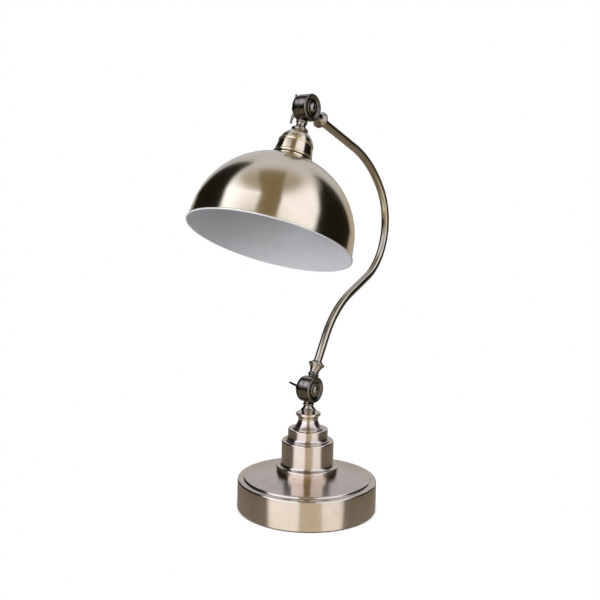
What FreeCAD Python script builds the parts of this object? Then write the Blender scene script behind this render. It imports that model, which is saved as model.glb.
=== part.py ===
"""Desk lamp with a dome shade: a weighted base with a turned pedestal, a bent tube arm
between two swivel knuckles, and a spun shade under a bell cap. Millimetres.

The origin is the centre of the base's underside, +Z is up and the lamp faces -Y.
Both knuckles turn about X. The arm lies in the plane X = 0.
"""

import FreeCAD, Part
import math
import os

import Sketcher

doc = FreeCAD.newDocument("desk_lamp")

# ---------------------------------------------------------------------------
# Driving dimensions
# ---------------------------------------------------------------------------

SIZES = {
    "base": {
        "base_radius": 80,
        "base_lift": 1.2,
        "base_side_top": 32.6,
        "base_rim_round": 1.9,
        "ledge_height": 34.6,
        "ledge_inner_radius": 72.9,
        "ledge_fillet": 0.9,
        "plateau_radius": 71,
        "plateau_edge_round": 1.9,
        "plateau_edge_height": 36.9,
        "plateau_height": 43,
        "cover_wall": 1.2,
        "cover_hole_radius": 5.4,
        "pad_radius": 78.2,
        "pad_thickness": 2.2,
        "weight_radius": 77.9,
        "weight_bottom": 2.3,
        "weight_top": 12.5,
        "weight_boss_radius": 21,
        "weight_boss_draft": 3,
        "weight_edge_chamfer": 2,
        "weight_well_radius": 15,
        "weight_well_top": 25.5,
        "cord_slot_width": 12.6,
    },
    "pedestal": {
        "flange_radius": 35.7,
        "flange_height": 50.4,
        "flange_round": 1.4,
        "drum_radius": 29.8,
        "drum_foot_radius": 33.2,
        "drum_foot_fillet": 3.6,
        "drum_top_round": 1.6,
        "drum_top": 79.4,
        "tier_radius": 22.8,
        "tier_foot_radius": 25.6,
        "tier_foot_edge": 1,
        "tier_foot_cove": 4.6,
        "tier_top_round": 1.2,
        "tier_top": 93,
        "bell_foot_radius": 17.6,
        "bell_waist_radius": 11.5,
        "bell_foot_edge": 1,
        "bell_curve_radius": 11.5,
        "bell_waist_height": 102.6,
        "bell_groove_width": 1,
        "bell_groove_depth": 0.6,
        "bell_cove_radius": 5,
        "bell_ring_height": 3.6,
        "bell_ring_round": 1,
        "bell_ring_radius": 14.2,
        "bell_top": 111.6,
        "turned_wall": 1.6,
        "turned_hole_radius": 5.2,
    },
    "rod": {
        "rod_radius": 5,
        "rod_bore_radius": 3.2,
        "rod_bottom": 17.5,
        "rod_top": 117.3,
        "rod_fit": 0.05,
        "nut_across_corners": 19.6,
        "nut_thickness": 5,
        "rod_washer_radius": 12,
        "rod_washer_thickness": 1.5,
    },
    "outlet": {
        "outlet_height": 10.5,
        "outlet_bore_radius": 3.2,
        "outlet_body_radius": 4.9,
        "outlet_hole_radius": 5,
        "outlet_flange_radius": 6.6,
        "outlet_flange_thickness": 2,
        "outlet_flange_round": 0.8,
        "outlet_snap_radius": 5.9,
        "outlet_snap_gap": 0.5,
        "outlet_inner_length": 4.4,
    },
    "joints": {
        "lower_joint_height": 138.7,
        "disc_radius": 14.8,
        "disc_face": 10.4,
        "disc_back": 10,
        "seam_outer": 1.6,
        "seam_inner": 0.8,
        "back_round": 5.2,
        "rim_round": 1.7,
        "rim_fold": 1.5,
        "dish_step": 1,
        "dish_step_radius": 11.1,
        "dish_rim_radius": 11.8,
        "dish_radius": 9.3,
        "dish_floor": 8.2,
        "hub_radius": 4.7,
        "cavity_radius": 10.5,
        "cavity_depth": 4.4,
        "bolt_radius": 3,
        "bolt_fit": 0.05,
        "bolt_end": 17.4,
        "bolt_head_radius": 5.1,
        "bolt_head_height": 3,
        "bolt_head_edge": 0.7,
        "bolt_end_chamfer": 0.6,
        "face_washer_radius": 8,
        "face_washer_thickness": 1.1,
        "face_washer_chamfer": 0.4,
        "washer_hole_play": 0.2,
        "swing_clearance": 0.4,
        "friction_washer_inner": 10.8,
        "friction_washer_outer": 14.4,
        "seam_play": 0.04,
        "spring_washer_radius": 7.2,
        "spring_washer_thickness": 0.7,
        "spring_washer_dish": 0.4,
    },
    "necks": {
        "neck_radius": 5.4,
        "neck_root": 11.6,
        "bead_round": 1.32,
        "bead_start": 16,
        "bead_end": 18.6,
        "neck_bore_radius": 2.5,
        "neck_bore_start": 8.5,
        "wire_way_start": 6.7,
        "trumpet_start": 20.4,
        "trumpet_radius": 9.3,
        "trumpet_curve": 12.6,
        "trumpet_height": 29.2,
        "trumpet_lip": 1.6,
        "trumpet_chamfer": 0.4,
        "collar_radius": 6.4,
        "collar_chamfer": 0.5,
        "collar_length": 33.2,
        "foot_radius": 8.9,
        "foot_curve": 8.5,
        "foot_height": 23.6,
        "foot_edge": 1,
        "foot_groove_radius": 7.9,
        "head_neck_curve": 12,
        "head_neck_radius": 5.9,
        "head_neck_end": 23.8,
    },
    "arm": {
        "tube_radius": 4.75,
        "tube_bore_radius": 3.75,
        "tube_socket_depth": 9,
        "socket_fit": 0.05,
        "arm_heading_lower": 28.2,
        "arm_heading_bow": 64.1,
        "arm_heading_crest": -37,
        "arm_heading_upper": -70.2,
        "arm_run_lower": 65,
        "arm_run_bow": 40.2,
        "arm_run_upper": 103.1,
        "arm_bend_lower": 109.1,
        "arm_bend_bow": 73.4,
        "arm_bend_upper": 135.5,
        "lead_radius": 2,
    },
    "wing_nut": {
        "wing_hub_radius": 5.6,
        "wing_hub_start": 11.2,
        "wing_hub_end": 15.8,
        "wing_hub_taper": 1.3,
        "wing_hub_chamfer": 0.4,
        "wing_tip_radius": 17,
        "wing_tip_end": 17,
        "wing_tip_round": 0.9,
        "wing_front_curve": 16,
        "wing_back_curve": 19,
        "wing_root_sink": 1.6,
        "wing_root_width": 4,
        "wing_thickness": 2,
        "wing_lower_turn": 62,
        "wing_upper_turn": -16,
    },
    "head": {
        "head_tilt": 22.5,
        "ring_radius": 9.3,
        "ring_small_radius": 7.4,
        "ring_step": 1.4,
        "ring_bulge": 0.6,
        "ring_round": 2.6,
        "ring_end": 28.6,
        "cap_wall": 1,
        "cap_top_radius": 7.9,
        "cap_side_radius": 19,
        "cap_side_start": 41.6,
        "cap_bead_round": 1.6,
        "cap_bead_end": 44.7,
        "cap_bead_step": 0.3,
        "cap_skirt_radius": 20.9,
        "cap_skirt_end": 55.6,
        "cap_lip_flare": 1.7,
        "cap_lip_round": 1.5,
        "cap_lip_radius": 21.9,
        "cap_end": 58.9,
        "cap_hole_play": 0.2,
        "nipple_radius": 4,
        "nipple_bore_radius": 2.5,
        "nipple_start": 18,
        "nipple_end": 41,
        "nipple_gap": 0.3,
        "nipple_nut_corners": 15,
        "nipple_nut_thickness": 3.4,
    },
    "shade": {
        "shade_end": 156.1,
        "shade_rim_radius": 89.9,
        "shade_sphere_radius": 87.6,
        "shade_sphere_centre": 147.5,
        "shade_skirt_start": 134,
        "shade_wall": 1,
        "rim_bead_radius": 1.1,
        "crown_radius": 20.2,
        "crown_draft": 0.3,
        "crown_round": 0.9,
        "crown_top": 59.1,
        "shade_hole_radius": 16.6,
    },
    "lampholder": {
        "holder_start": 37.5,
        "holder_lead_depth": 8,
        "holder_body_radius": 15.4,
        "holder_body_chamfer": 2.4,
        "holder_end_chamfer": 0.8,
        "holder_flange_start": 56.4,
        "holder_flange_radius": 18.6,
        "holder_skirt_radius": 16.3,
        "holder_end": 88,
        "holder_cavity_radius": 13.75,
        "holder_cavity_start": 57,
        "shell_bore_radius": 13.25,
        "shell_outer_radius": 13.65,
        "shell_start": 60,
        "shell_end": 82,
        "contact_radius": 4.2,
        "contact_edge": 0.8,
        "contact_chamfer": 1.1,
        "contact_height": 2.4,
        "shade_ring_radius": 21.5,
        "shade_ring_bore": 16.4,
        "shade_ring_neck_play": 0.4,
        "shade_ring_flange": 2,
        "shade_ring_chamfer": 0.5,
        "shade_ring_height": 7.4,
    },
}


class Size:
    """A length that keeps both its value and the sheet expression it stands for."""

    def __init__(self, value, text):
        self.value = value
        self.text = text

    def joined(self, other, sign, value):
        text = other.text if isinstance(other, Size) else repr(other)
        return Size(value, f"({self.text} {sign} {text})")

    def __add__(self, other):
        return self.joined(other, "+", self.value + number(other))

    def __sub__(self, other):
        return self.joined(other, "-", self.value - number(other))

    def __mul__(self, other):
        return self.joined(other, "*", self.value * number(other))

    def __neg__(self):
        return Size(-self.value, f"(0 - {self.text})")


def number(length):
    """The plain value of a Size or of a number."""
    return length.value if isinstance(length, Size) else float(length)


def fill_sheet():
    """Writes every driving dimension to the sheet and returns them as Sizes by alias."""
    sheet = doc.addObject("Spreadsheet::Sheet", "sizes")
    table = {}
    row = 1
    for group, entries in SIZES.items():
        sheet.set(f"A{row}", group)
        row += 1
        for alias, value in entries.items():
            sheet.set(f"A{row}", alias.replace("_", " "))
            sheet.set(f"B{row}", str(value))
            sheet.setAlias(f"B{row}", alias)
            table[alias] = Size(float(value), f"sizes.{alias}")
            row += 1
    doc.recompute()
    return table


D = fill_sheet()


# ---------------------------------------------------------------------------
# Outlines and turned pieces
# ---------------------------------------------------------------------------

class Outline:
    """A closed outline of straight runs and arcs, drawn in a sketch and bound to the sheet."""

    def __init__(self, x, y):
        self.points = [(x, y)]
        self.arcs = {}
        self.domes = {}

    def line(self, x, y):
        self.points.append((x, y))
        return self

    def arc(self, x, y, radius, side):
        """An arc of less than a half turn, with its centre to the left (1) or right (-1)."""
        self.arcs[len(self.points) - 1] = (radius, side)
        return self.line(x, y)

    def dome(self, x, y, side, axis="V_Axis"):
        """An arc whose centre lies on the turning axis, so that it turns into a sphere."""
        self.domes[len(self.points) - 1] = (side, axis)
        return self.line(x, y)

    def draw(self, sketch):
        count = len(self.points)
        values = [(number(x), number(y)) for x, y in self.points]
        shapes = []
        starts = []
        for i in range(count):
            a, b = values[i], values[(i + 1) % count]
            if i in self.arcs:
                radius, side = self.arcs[i]
                shapes.append(arc_between(a, b, number(radius), side))
                starts.append(1 if side > 0 else 2)
            elif i in self.domes:
                side, axis = self.domes[i]
                shapes.append(arc_between(a, b, dome_radius(a, b, axis), side))
                starts.append(1 if side > 0 else 2)
            else:
                shapes.append(Part.LineSegment(vector(*a), vector(*b)))
                starts.append(1)
        first = sketch.addGeometry(shapes, False)
        first = first[0] if isinstance(first, (tuple, list)) else first
        rules = []
        bound = []
        for i in range(count):
            here = first + i
            after = first + (i + 1) % count
            end = 3 - starts[i]
            rules.append(Sketcher.Constraint("Coincident", here, end, after, starts[(i + 1) % count]))
        for i, (x, y) in enumerate(self.points):
            for kind, length, axis in (("DistanceX", x, -2), ("DistanceY", y, -1)):
                if not isinstance(length, Size) and length == 0:
                    rules.append(Sketcher.Constraint("PointOnObject", first + i, starts[i], axis))
                    continue
                rules.append(
                    Sketcher.Constraint(kind, -1, 1, first + i, starts[i], number(length))
                )
                bound.append((len(rules) - 1, length))
        for i, (radius, _) in self.arcs.items():
            rules.append(Sketcher.Constraint("Radius", first + i, number(radius)))
            bound.append((len(rules) - 1, radius))
        for i, (_, axis) in self.domes.items():
            line = -2 if axis == "V_Axis" else -1
            rules.append(Sketcher.Constraint("PointOnObject", first + i, 3, line))
        offset = sketch.ConstraintCount
        sketch.addConstraint(rules)
        for index, length in bound:
            if isinstance(length, Size):
                sketch.setExpression(f"Constraints[{offset + index}]", length.text)


UP = FreeCAD.Vector(0, 0, 1)
RIGHT = FreeCAD.Vector(1, 0, 0)


def vector(x, y):
    return FreeCAD.Vector(x, y, 0)


def dome_radius(a, b, axis):
    """The radius of the circle through a and b whose centre lies on the turning axis."""
    (ra, ha), (rb, hb) = (a, b) if axis == "V_Axis" else (a[::-1], b[::-1])
    centre = (rb * rb + hb * hb - ra * ra - ha * ha) / (2 * (hb - ha))
    return math.hypot(ra, ha - centre)


def arc_between(a, b, radius, side):
    """The short arc from a to b, with its centre on the given side of the chord."""
    dx, dy = b[0] - a[0], b[1] - a[1]
    chord = math.hypot(dx, dy)
    reach = math.sqrt(radius * radius - chord * chord / 4)
    centre = vector(
        (a[0] + b[0]) / 2 - side * dy / chord * reach,
        (a[1] + b[1]) / 2 + side * dx / chord * reach,
    )
    turn_a = math.atan2(a[1] - centre.y, a[0] - centre.x)
    turn_b = math.atan2(b[1] - centre.y, b[0] - centre.x)
    if side < 0:
        turn_a, turn_b = turn_b, turn_a
    return Part.ArcOfCircle(Part.Circle(centre, UP, radius), turn_a, turn_b)


def sketch_on(body, role, name):
    """A new sketch on one of the body's own origin planes."""
    plane = next(f for f in body.Origin.OriginFeatures if f.Role == role)
    sketch = body.newObject("Sketcher::SketchObject", name)
    sketch.AttachmentSupport = (plane, [""])
    sketch.MapMode = "FlatFace"
    return sketch


def new_body(name):
    body = doc.addObject("PartDesign::Body", name)
    body.Label = name
    return body


def turn(body, outline, name, axis="V_Axis", cut=False):
    """Turns an outline about the sketch's upright (V_Axis) or level (H_Axis) axis."""
    sketch = sketch_on(body, "XZ_Plane", name + "_outline")
    outline.draw(sketch)
    before = body.Shape.Volume if cut else 0
    kind = "PartDesign::Groove" if cut else "PartDesign::Revolution"
    feature = body.newObject(kind, name)
    feature.Profile = sketch
    feature.ReferenceAxis = (sketch, [axis])
    feature.Angle = 360
    doc.recompute()
    if cut:
        must_have_cut(body, before, name)


def must_have_cut(body, before, name):
    """A groove or pocket that points away from the solid cuts nothing and shows no error."""
    if body.Shape.Volume > before - 1e-3:
        raise RuntimeError(f"{name} cuts nothing")


def pocket(body, sketch, name, length, reversed_way):
    """Cuts the sketch's outline into the body."""
    before = body.Shape.Volume
    feature = body.newObject("PartDesign::Pocket", name)
    feature.Profile = sketch
    feature.Reversed = reversed_way
    feature.setExpression("Length", length.text)
    doc.recompute()
    must_have_cut(body, before, name)


def turned(name, outline, axis="V_Axis"):
    """A piece that is one turned outline."""
    body = new_body(name)
    turn(body, outline, name + "_turn", axis)
    return body


def ring(inner, outer, low, high):
    """The outline of a plain ring or washer."""
    return Outline(inner, low).line(outer, low).line(outer, high).line(inner, high)


# ---------------------------------------------------------------------------
# Base
# ---------------------------------------------------------------------------

def base_cover():
    """Spun cover: a straight side, a narrow ledge, a low riser and a coned plateau."""
    wall, fillet = D["cover_wall"], D["ledge_fillet"]
    outer, rim = D["base_radius"], D["base_rim_round"]
    ledge, ledge_inner = D["ledge_height"], D["ledge_inner_radius"]
    side_top, edge_top = D["base_side_top"], D["plateau_edge_height"]
    top, hole, flange = D["plateau_height"], D["cover_hole_radius"], D["flange_radius"]
    inside = outer - wall
    outline = Outline(outer, D["base_lift"]).line(outer, side_top)
    outline.arc(outer - rim, ledge, rim + 0.1, 1)
    outline.line(ledge_inner + fillet, ledge)
    outline.arc(ledge_inner, ledge + fillet, fillet, -1)
    outline.arc(D["plateau_radius"], edge_top, D["plateau_edge_round"], 1)
    outline.line(flange, top).line(hole, top).line(hole, top - wall).line(flange, top - wall)
    outline.line(D["plateau_radius"] - wall, edge_top - wall)
    outline.line(ledge_inner - wall, ledge - wall)
    outline.line(inside - wall, ledge - wall)
    outline.line(inside, side_top - wall)
    outline.line(inside, D["base_lift"])
    body = new_body("base_cover")
    turn(body, outline, "base_cover_spun")
    sketch = sketch_on(body, "XZ_Plane", "base_cover_outlet_outline")
    height, radius = D["outlet_height"], D["outlet_hole_radius"]
    sketch.addGeometry(Part.Circle(vector(0, height.value), UP, radius.value), False)
    sketch.addConstraint([
        Sketcher.Constraint("PointOnObject", 0, 3, -2),
        Sketcher.Constraint("DistanceY", -1, 1, 0, 3, height.value),
        Sketcher.Constraint("Radius", 0, radius.value),
    ])
    sketch.setExpression("Constraints[1]", height.text)
    sketch.setExpression("Constraints[2]", radius.text)
    pocket(body, sketch, "base_cover_outlet", outer + wall, False)
    return body


def base_weight():
    """Cast-iron disc with a tall boss, a well for the rod's nut and a slot for the cord."""
    boss, edge, chamfer = D["weight_boss_radius"], D["weight_radius"], D["weight_edge_chamfer"]
    low, high, well = D["weight_bottom"], D["weight_top"], D["weight_well_radius"]
    hole, top = D["cover_hole_radius"], D["plateau_height"] - D["cover_wall"]
    outline = Outline(hole, D["weight_well_top"]).line(well, D["weight_well_top"])
    outline.line(well, low).line(edge, low).line(edge, high - chamfer)
    outline.line(edge - chamfer, high).line(boss + D["weight_boss_draft"], high)
    outline.line(boss, top).line(hole, top)
    body = new_body("base_weight")
    turn(body, outline, "base_weight_cast")
    sketch = sketch_on(body, "XY_Plane", "base_weight_slot_outline")
    half, reach = D["cord_slot_width"] * 0.5, D["base_radius"]
    Outline(-half, 0).line(half, 0).line(half, reach).line(-half, reach).draw(sketch)
    pocket(body, sketch, "base_weight_slot", high + 1, True)
    return body


def base_pad():
    """Foam pad under the base."""
    return turned("base_pad", ring(0, D["pad_radius"], 0, D["pad_thickness"]))


def cord_bushing():
    """Plastic bushing in the rear outlet, turned about Y and flanged on both sides of the wall."""
    bore, barrel, flange = D["outlet_bore_radius"], D["outlet_body_radius"], D["outlet_flange_radius"]
    inner, snap = -D["outlet_inner_length"], D["outlet_snap_radius"]
    seat = -(D["cover_wall"] + D["outlet_snap_gap"])
    thick, edge = D["outlet_flange_thickness"], D["outlet_flange_round"]
    outline = Outline(bore, inner).line(snap, inner).line(snap, seat).line(barrel, seat)
    outline.line(barrel, 0).line(flange, 0).line(flange, thick - edge)
    outline.arc(flange - edge, thick, edge, 1).line(bore, thick)
    body = turned("cord_bushing", outline)
    body.Placement = FreeCAD.Placement(
        FreeCAD.Vector(0, D["base_radius"].value, D["outlet_height"].value),
        FreeCAD.Rotation(RIGHT, -90),
    )
    return body


def pedestal_drum():
    """Lowest turned piece: a broad flange, a cove and a straight drum."""
    wall, drum, flange = D["turned_wall"], D["drum_radius"], D["flange_radius"]
    low, step, top = D["plateau_height"], D["flange_height"], D["drum_top"]
    edge, cove, shoulder = D["flange_round"], D["drum_foot_fillet"], D["drum_top_round"]
    outline = Outline(flange, low).line(flange, step - edge)
    outline.arc(flange - edge, step, edge, 1).line(D["drum_foot_radius"], step)
    outline.arc(drum, step + cove, cove, -1).line(drum, top - shoulder)
    outline.arc(drum - shoulder, top, shoulder, 1)
    hollow_under(outline, drum - wall * 2, low, top, wall)
    return turned("pedestal_drum", outline)


def pedestal_tier():
    """Middle turned piece: a flared foot under a short straight drum."""
    wall, side, foot = D["turned_wall"], D["tier_radius"], D["tier_foot_radius"]
    low, top, cove = D["drum_top"], D["tier_top"], D["tier_foot_cove"]
    edge, shoulder = D["tier_foot_edge"], D["tier_top_round"]
    outline = Outline(foot, low).line(foot, low + edge)
    outline.arc(side, low + cove, cove, -1).line(side, top - shoulder)
    outline.arc(side - shoulder, top, shoulder, 1)
    hollow_under(outline, side - wall * 2, low, top, wall)
    return turned("pedestal_tier", outline)


def hollow_under(outline, bore, low, top, wall):
    """Ends the outline of a turned piece: a holed top over a plain hollow."""
    hole = D["turned_hole_radius"]
    outline.line(hole, top).line(hole, top - wall).line(bore, top - wall).line(bore, low)


def pedestal_bell():
    """Top turned piece: a concave bell, a fine groove, a cove and a round-edged ring."""
    low, height, top = D["tier_top"], D["bell_waist_height"], D["bell_top"]
    foot, waist, ring_edge = D["bell_foot_radius"], D["bell_waist_radius"], D["bell_ring_radius"]
    groove, depth = D["bell_groove_width"], D["bell_groove_depth"]
    edge, ring_low = D["bell_ring_round"], top - D["bell_ring_height"]
    outline = Outline(D["turned_hole_radius"], low).line(foot, low)
    outline.line(foot, low + D["bell_foot_edge"])
    outline.arc(waist, height, D["bell_curve_radius"], -1)
    outline.line(waist - depth, height + groove * 0.5).line(waist, height + groove)
    outline.arc(ring_edge - edge, ring_low, D["bell_cove_radius"], -1)
    outline.line(ring_edge, ring_low + edge).line(ring_edge, top - edge)
    outline.arc(ring_edge - edge, top, edge, 1).line(D["turned_hole_radius"], top)
    return turned("pedestal_bell", outline)


def hexagon_nut(name, corners, thickness, hole, low):
    """A plain hexagon nut standing on the given height."""
    blank = doc.addObject("Part::Prism", name + "_blank")
    blank.Polygon = 6
    blank.setExpression("Circumradius", (corners * 0.5).text)
    blank.setExpression("Height", thickness.text)
    blank.setExpression("Placement.Base.z", low.text)
    bore = doc.addObject("Part::Cylinder", name + "_bore")
    bore.setExpression("Radius", hole.text)
    bore.setExpression("Height", (thickness + 2).text)
    bore.setExpression("Placement.Base.z", (low - 1).text)
    nut = doc.addObject("Part::Cut", name)
    nut.Label = name
    nut.Base = blank
    nut.Tool = bore
    return nut


def rod_pieces():
    """The hollow threaded rod that draws base and pedestal together, its washer and its nut."""
    outer = D["rod_radius"]
    threaded = turned("threaded_rod", ring(D["rod_bore_radius"], outer, D["rod_bottom"], D["rod_top"]))
    washer_low = D["weight_well_top"] - D["rod_washer_thickness"]
    washer = turned(
        "rod_washer",
        ring(outer + 0.3, D["rod_washer_radius"], washer_low, D["weight_well_top"]),
    )
    nut = hexagon_nut(
        "rod_nut",
        D["nut_across_corners"],
        D["nut_thickness"],
        outer + D["rod_fit"],
        washer_low - D["nut_thickness"],
    )
    return [threaded, washer, nut]


# ---------------------------------------------------------------------------
# Swivel knuckles
# ---------------------------------------------------------------------------
# Each knuckle is drawn about its own joint centre, with its neck along +Z and its disc
# beside the seam. It is then turned about X to where its neck points.

def arm_disc(body):
    """The arm's half: a disc with a rolled rim, a dished face and a wire cavity inside."""
    seam, face, edge = D["seam_outer"], D["disc_face"], D["disc_radius"]
    cavity, hub, depth = D["cavity_radius"], D["hub_radius"], seam + D["cavity_depth"]
    hole, floor, fold = D["bolt_radius"] + D["bolt_fit"], D["dish_floor"], D["rim_round"]
    step = face - D["dish_step"]
    outline = Outline(seam, hole).line(seam, hub).line(depth, hub).line(depth, cavity)
    outline.line(seam, cavity).line(seam, edge).line(face - fold, edge)
    outline.arc(face, edge - fold, fold, -1)
    outline.arc(step, D["dish_rim_radius"], D["rim_fold"], -1)
    outline.line(step, D["dish_step_radius"])
    outline.line(floor, D["dish_radius"]).line(floor, hole)
    turn(body, outline, body.Name + "_disc", "H_Axis")


def carrier_disc(body):
    """The fixed or head half: a disc with a deeply rounded back and a wire cavity inside."""
    seam, back, edge = D["seam_inner"], -D["disc_back"], D["disc_radius"]
    cavity, hub, depth = D["cavity_radius"], D["hub_radius"], seam - D["cavity_depth"]
    hole, fold = D["bolt_radius"] + D["bolt_fit"], D["back_round"]
    outline = Outline(seam, hole).line(back, hole).line(back, edge - fold)
    outline.arc(back + fold, edge, fold, -1).line(seam, edge)
    outline.line(seam, cavity).line(depth, cavity).line(depth, hub).line(seam, hub)
    turn(body, outline, body.Name + "_disc", "H_Axis")


def neck_start():
    """The part of every neck next to its disc: a plain root and a small bead."""
    neck = D["neck_radius"]
    outline = Outline(0, D["neck_root"]).line(neck, D["neck_root"]).line(neck, D["bead_start"])
    return outline.arc(neck, D["bead_end"], D["bead_round"], 1)


def neck_bore(body, wide_radius, wide_start, end):
    """Bores a neck: narrow for the lead, and wider from the given distance on."""
    narrow, start, past_end = D["neck_bore_radius"], D["neck_bore_start"], end + 1
    outline = Outline(0, start).line(narrow, start).line(narrow, wide_start)
    outline.line(wide_radius, wide_start).line(wide_radius, past_end).line(0, past_end)
    turn(body, outline, body.Name + "_bore", cut=True)


def trumpet_neck(body):
    """The arm's neck: it flares like a trumpet into a lipped socket for the tube."""
    flare, height = D["trumpet_radius"], D["trumpet_height"]
    lip, chamfer = height + D["trumpet_lip"], D["trumpet_chamfer"]
    collar, end, collar_edge = D["collar_radius"], D["collar_length"], D["collar_chamfer"]
    outline = neck_start()
    outline.line(D["neck_radius"], D["trumpet_start"])
    outline.arc(flare, height, D["trumpet_curve"], -1)
    outline.line(flare, lip - chamfer).line(flare - chamfer, lip).line(collar, lip)
    outline.line(collar, end - collar_edge).line(collar - collar_edge, end).line(0, end)
    turn(body, outline, body.Name + "_neck")
    neck_bore(body, D["tube_radius"] + D["socket_fit"], end - D["tube_socket_depth"], end)


def foot_neck(body):
    """The base knuckle's neck: it widens to a foot that stands on the pedestal."""
    end = D["lower_joint_height"] - D["bell_top"]
    foot, height, groove = D["foot_radius"], D["foot_height"], D["foot_groove_radius"]
    outline = neck_start()
    outline.arc(foot, height, D["foot_curve"], -1).line(foot, height + D["foot_edge"])
    outline.line(groove, height + D["foot_edge"] * 1.5).line(groove, end).line(0, end)
    turn(body, outline, body.Name + "_neck")
    rod_end = D["lower_joint_height"] - D["rod_top"] - D["nipple_gap"]
    neck_bore(body, D["rod_radius"] + D["rod_fit"], rod_end, end)


def socket_neck(body):
    """The head knuckle's neck: short and plain, threaded for the hollow nipple."""
    end = D["head_neck_end"]
    outline = neck_start()
    outline.arc(D["head_neck_radius"], end, D["head_neck_curve"], -1).line(0, end)
    turn(body, outline, body.Name + "_neck")
    neck_bore(body, D["nipple_radius"] + D["rod_fit"], D["nipple_start"] - D["nipple_gap"], end)


def swing_relief(body, low, high):
    """Clears the neck's root from the space that the other half turns in."""
    reach = D["disc_radius"] + D["swing_clearance"]
    outline = Outline(low, 0).line(high, 0).line(high, reach).line(low, reach)
    turn(body, outline, body.Name + "_relief", "H_Axis", cut=True)


def wire_way(body):
    """Opens the neck's bore into the disc's cavity, so that the lead can pass."""
    radius, start, end = D["neck_bore_radius"], D["wire_way_start"], D["bead_start"]
    outline = Outline(0, start).line(radius, start).line(radius, end).line(0, end)
    turn(body, outline, body.Name + "_wire_way", cut=True)


def knuckle(name, disc, neck, low, high):
    """One casting: its neck, cleared where the other half swings, and then its disc and bore."""
    body = new_body(name)
    neck(body)
    swing_relief(body, low, high)
    disc(body)
    wire_way(body)
    return body


def arm_knuckle(name):
    return knuckle(name, arm_disc, trumpet_neck, -D["disc_back"] - 1, D["seam_outer"])


def carrier_knuckle(name, neck):
    return knuckle(name, carrier_disc, neck, D["seam_inner"], D["disc_face"] + 1)


def joint_bolt(name):
    """Domed bolt through both halves. Its end stands out of the wing nut."""
    head, end = D["dish_floor"] + D["face_washer_thickness"], -D["bolt_end"]
    shank, cheese, chamfer = D["bolt_radius"], D["bolt_head_radius"], D["bolt_end_chamfer"]
    rim = head + D["bolt_head_edge"]
    outline = Outline(end, 0).line(end, shank - chamfer).line(end + chamfer, shank)
    outline.line(head, shank).line(head, cheese).line(rim, cheese)
    outline.dome(head + D["bolt_head_height"], 0, -1, "H_Axis")
    return turned(name, outline, "H_Axis")


def face_washer(name):
    """Washer under the bolt's head, in the dish of the arm's half."""
    low, edge, chamfer = D["dish_floor"], D["face_washer_radius"], D["face_washer_chamfer"]
    high, hole = low + D["face_washer_thickness"], D["bolt_radius"] + D["washer_hole_play"]
    outline = Outline(low, hole).line(low, edge).line(high - chamfer, edge)
    outline.line(high, edge - chamfer).line(high, hole)
    return turned(name, outline, "H_Axis")


def friction_washer(name):
    """Fibre ring held between the two halves, outside the wire cavity."""
    low = D["seam_inner"]
    high = D["seam_outer"] - D["seam_play"]
    inner, outer = D["friction_washer_inner"], D["friction_washer_outer"]
    outline = Outline(low, inner).line(high, inner).line(high, outer).line(low, outer)
    return turned(name, outline, "H_Axis")


def spring_washer(name):
    """Coned spring washer between the back of the joint and the wing nut."""
    low = -D["disc_back"]
    dish, thick = D["spring_washer_dish"], D["spring_washer_thickness"]
    hole, edge = D["bolt_radius"] + D["washer_hole_play"], D["spring_washer_radius"]
    outline = Outline(low, edge).line(low - dish, hole)
    outline.line(low - dish - thick, hole).line(low - thick, edge)
    return turned(name, outline, "H_Axis")


def wing_nut(name):
    """Wing nut: a coned hub with two leaf-shaped wings that sweep back."""
    start, end, hub = -D["wing_hub_start"], -D["wing_hub_end"], D["wing_hub_radius"]
    hole, chamfer, width = D["bolt_radius"] + D["bolt_fit"], D["wing_hub_chamfer"], D["wing_root_width"]
    body = new_body(name)
    outline = Outline(start, hole).line(start, hub - chamfer).line(start - chamfer, hub)
    outline.line(start - chamfer - 1, hub).line(end, hub - D["wing_hub_taper"]).line(end, hole)
    turn(body, outline, name + "_hub", "H_Axis")
    sketch = sketch_on(body, "XZ_Plane", name + "_wing_outline")
    tip, back, tip_round = D["wing_tip_radius"], -D["wing_tip_end"], D["wing_tip_round"]
    sunk = hub - D["wing_root_sink"]
    leaf = Outline(start - chamfer, sunk).line(start - chamfer, hub + chamfer)
    leaf.arc(back + tip_round, tip, D["wing_front_curve"], -1)
    leaf.arc(back - chamfer, tip - tip_round, tip_round, 1)
    leaf.arc(start - chamfer - width, sunk, D["wing_back_curve"], -1)
    leaf.draw(sketch)
    wing = body.newObject("PartDesign::Pad", name + "_wing")
    wing.Profile = sketch
    wing.SideType = "Symmetric"
    wing.setExpression("Length", D["wing_thickness"].text)
    doc.recompute()
    pair = body.newObject("PartDesign::PolarPattern", name + "_wings")
    pair.Originals = [wing]
    pair.Axis = (sketch, ["H_Axis"])
    pair.Angle = 360
    pair.Occurrences = 2
    body.Tip = pair
    doc.recompute()
    return body


# ---------------------------------------------------------------------------
# Arm
# ---------------------------------------------------------------------------

def heading(degrees):
    """The direction in the arm's plane that leans this far from upright towards +Y."""
    turn_back = math.radians(degrees)
    return FreeCAD.Vector(0, math.sin(turn_back), math.cos(turn_back))


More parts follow.
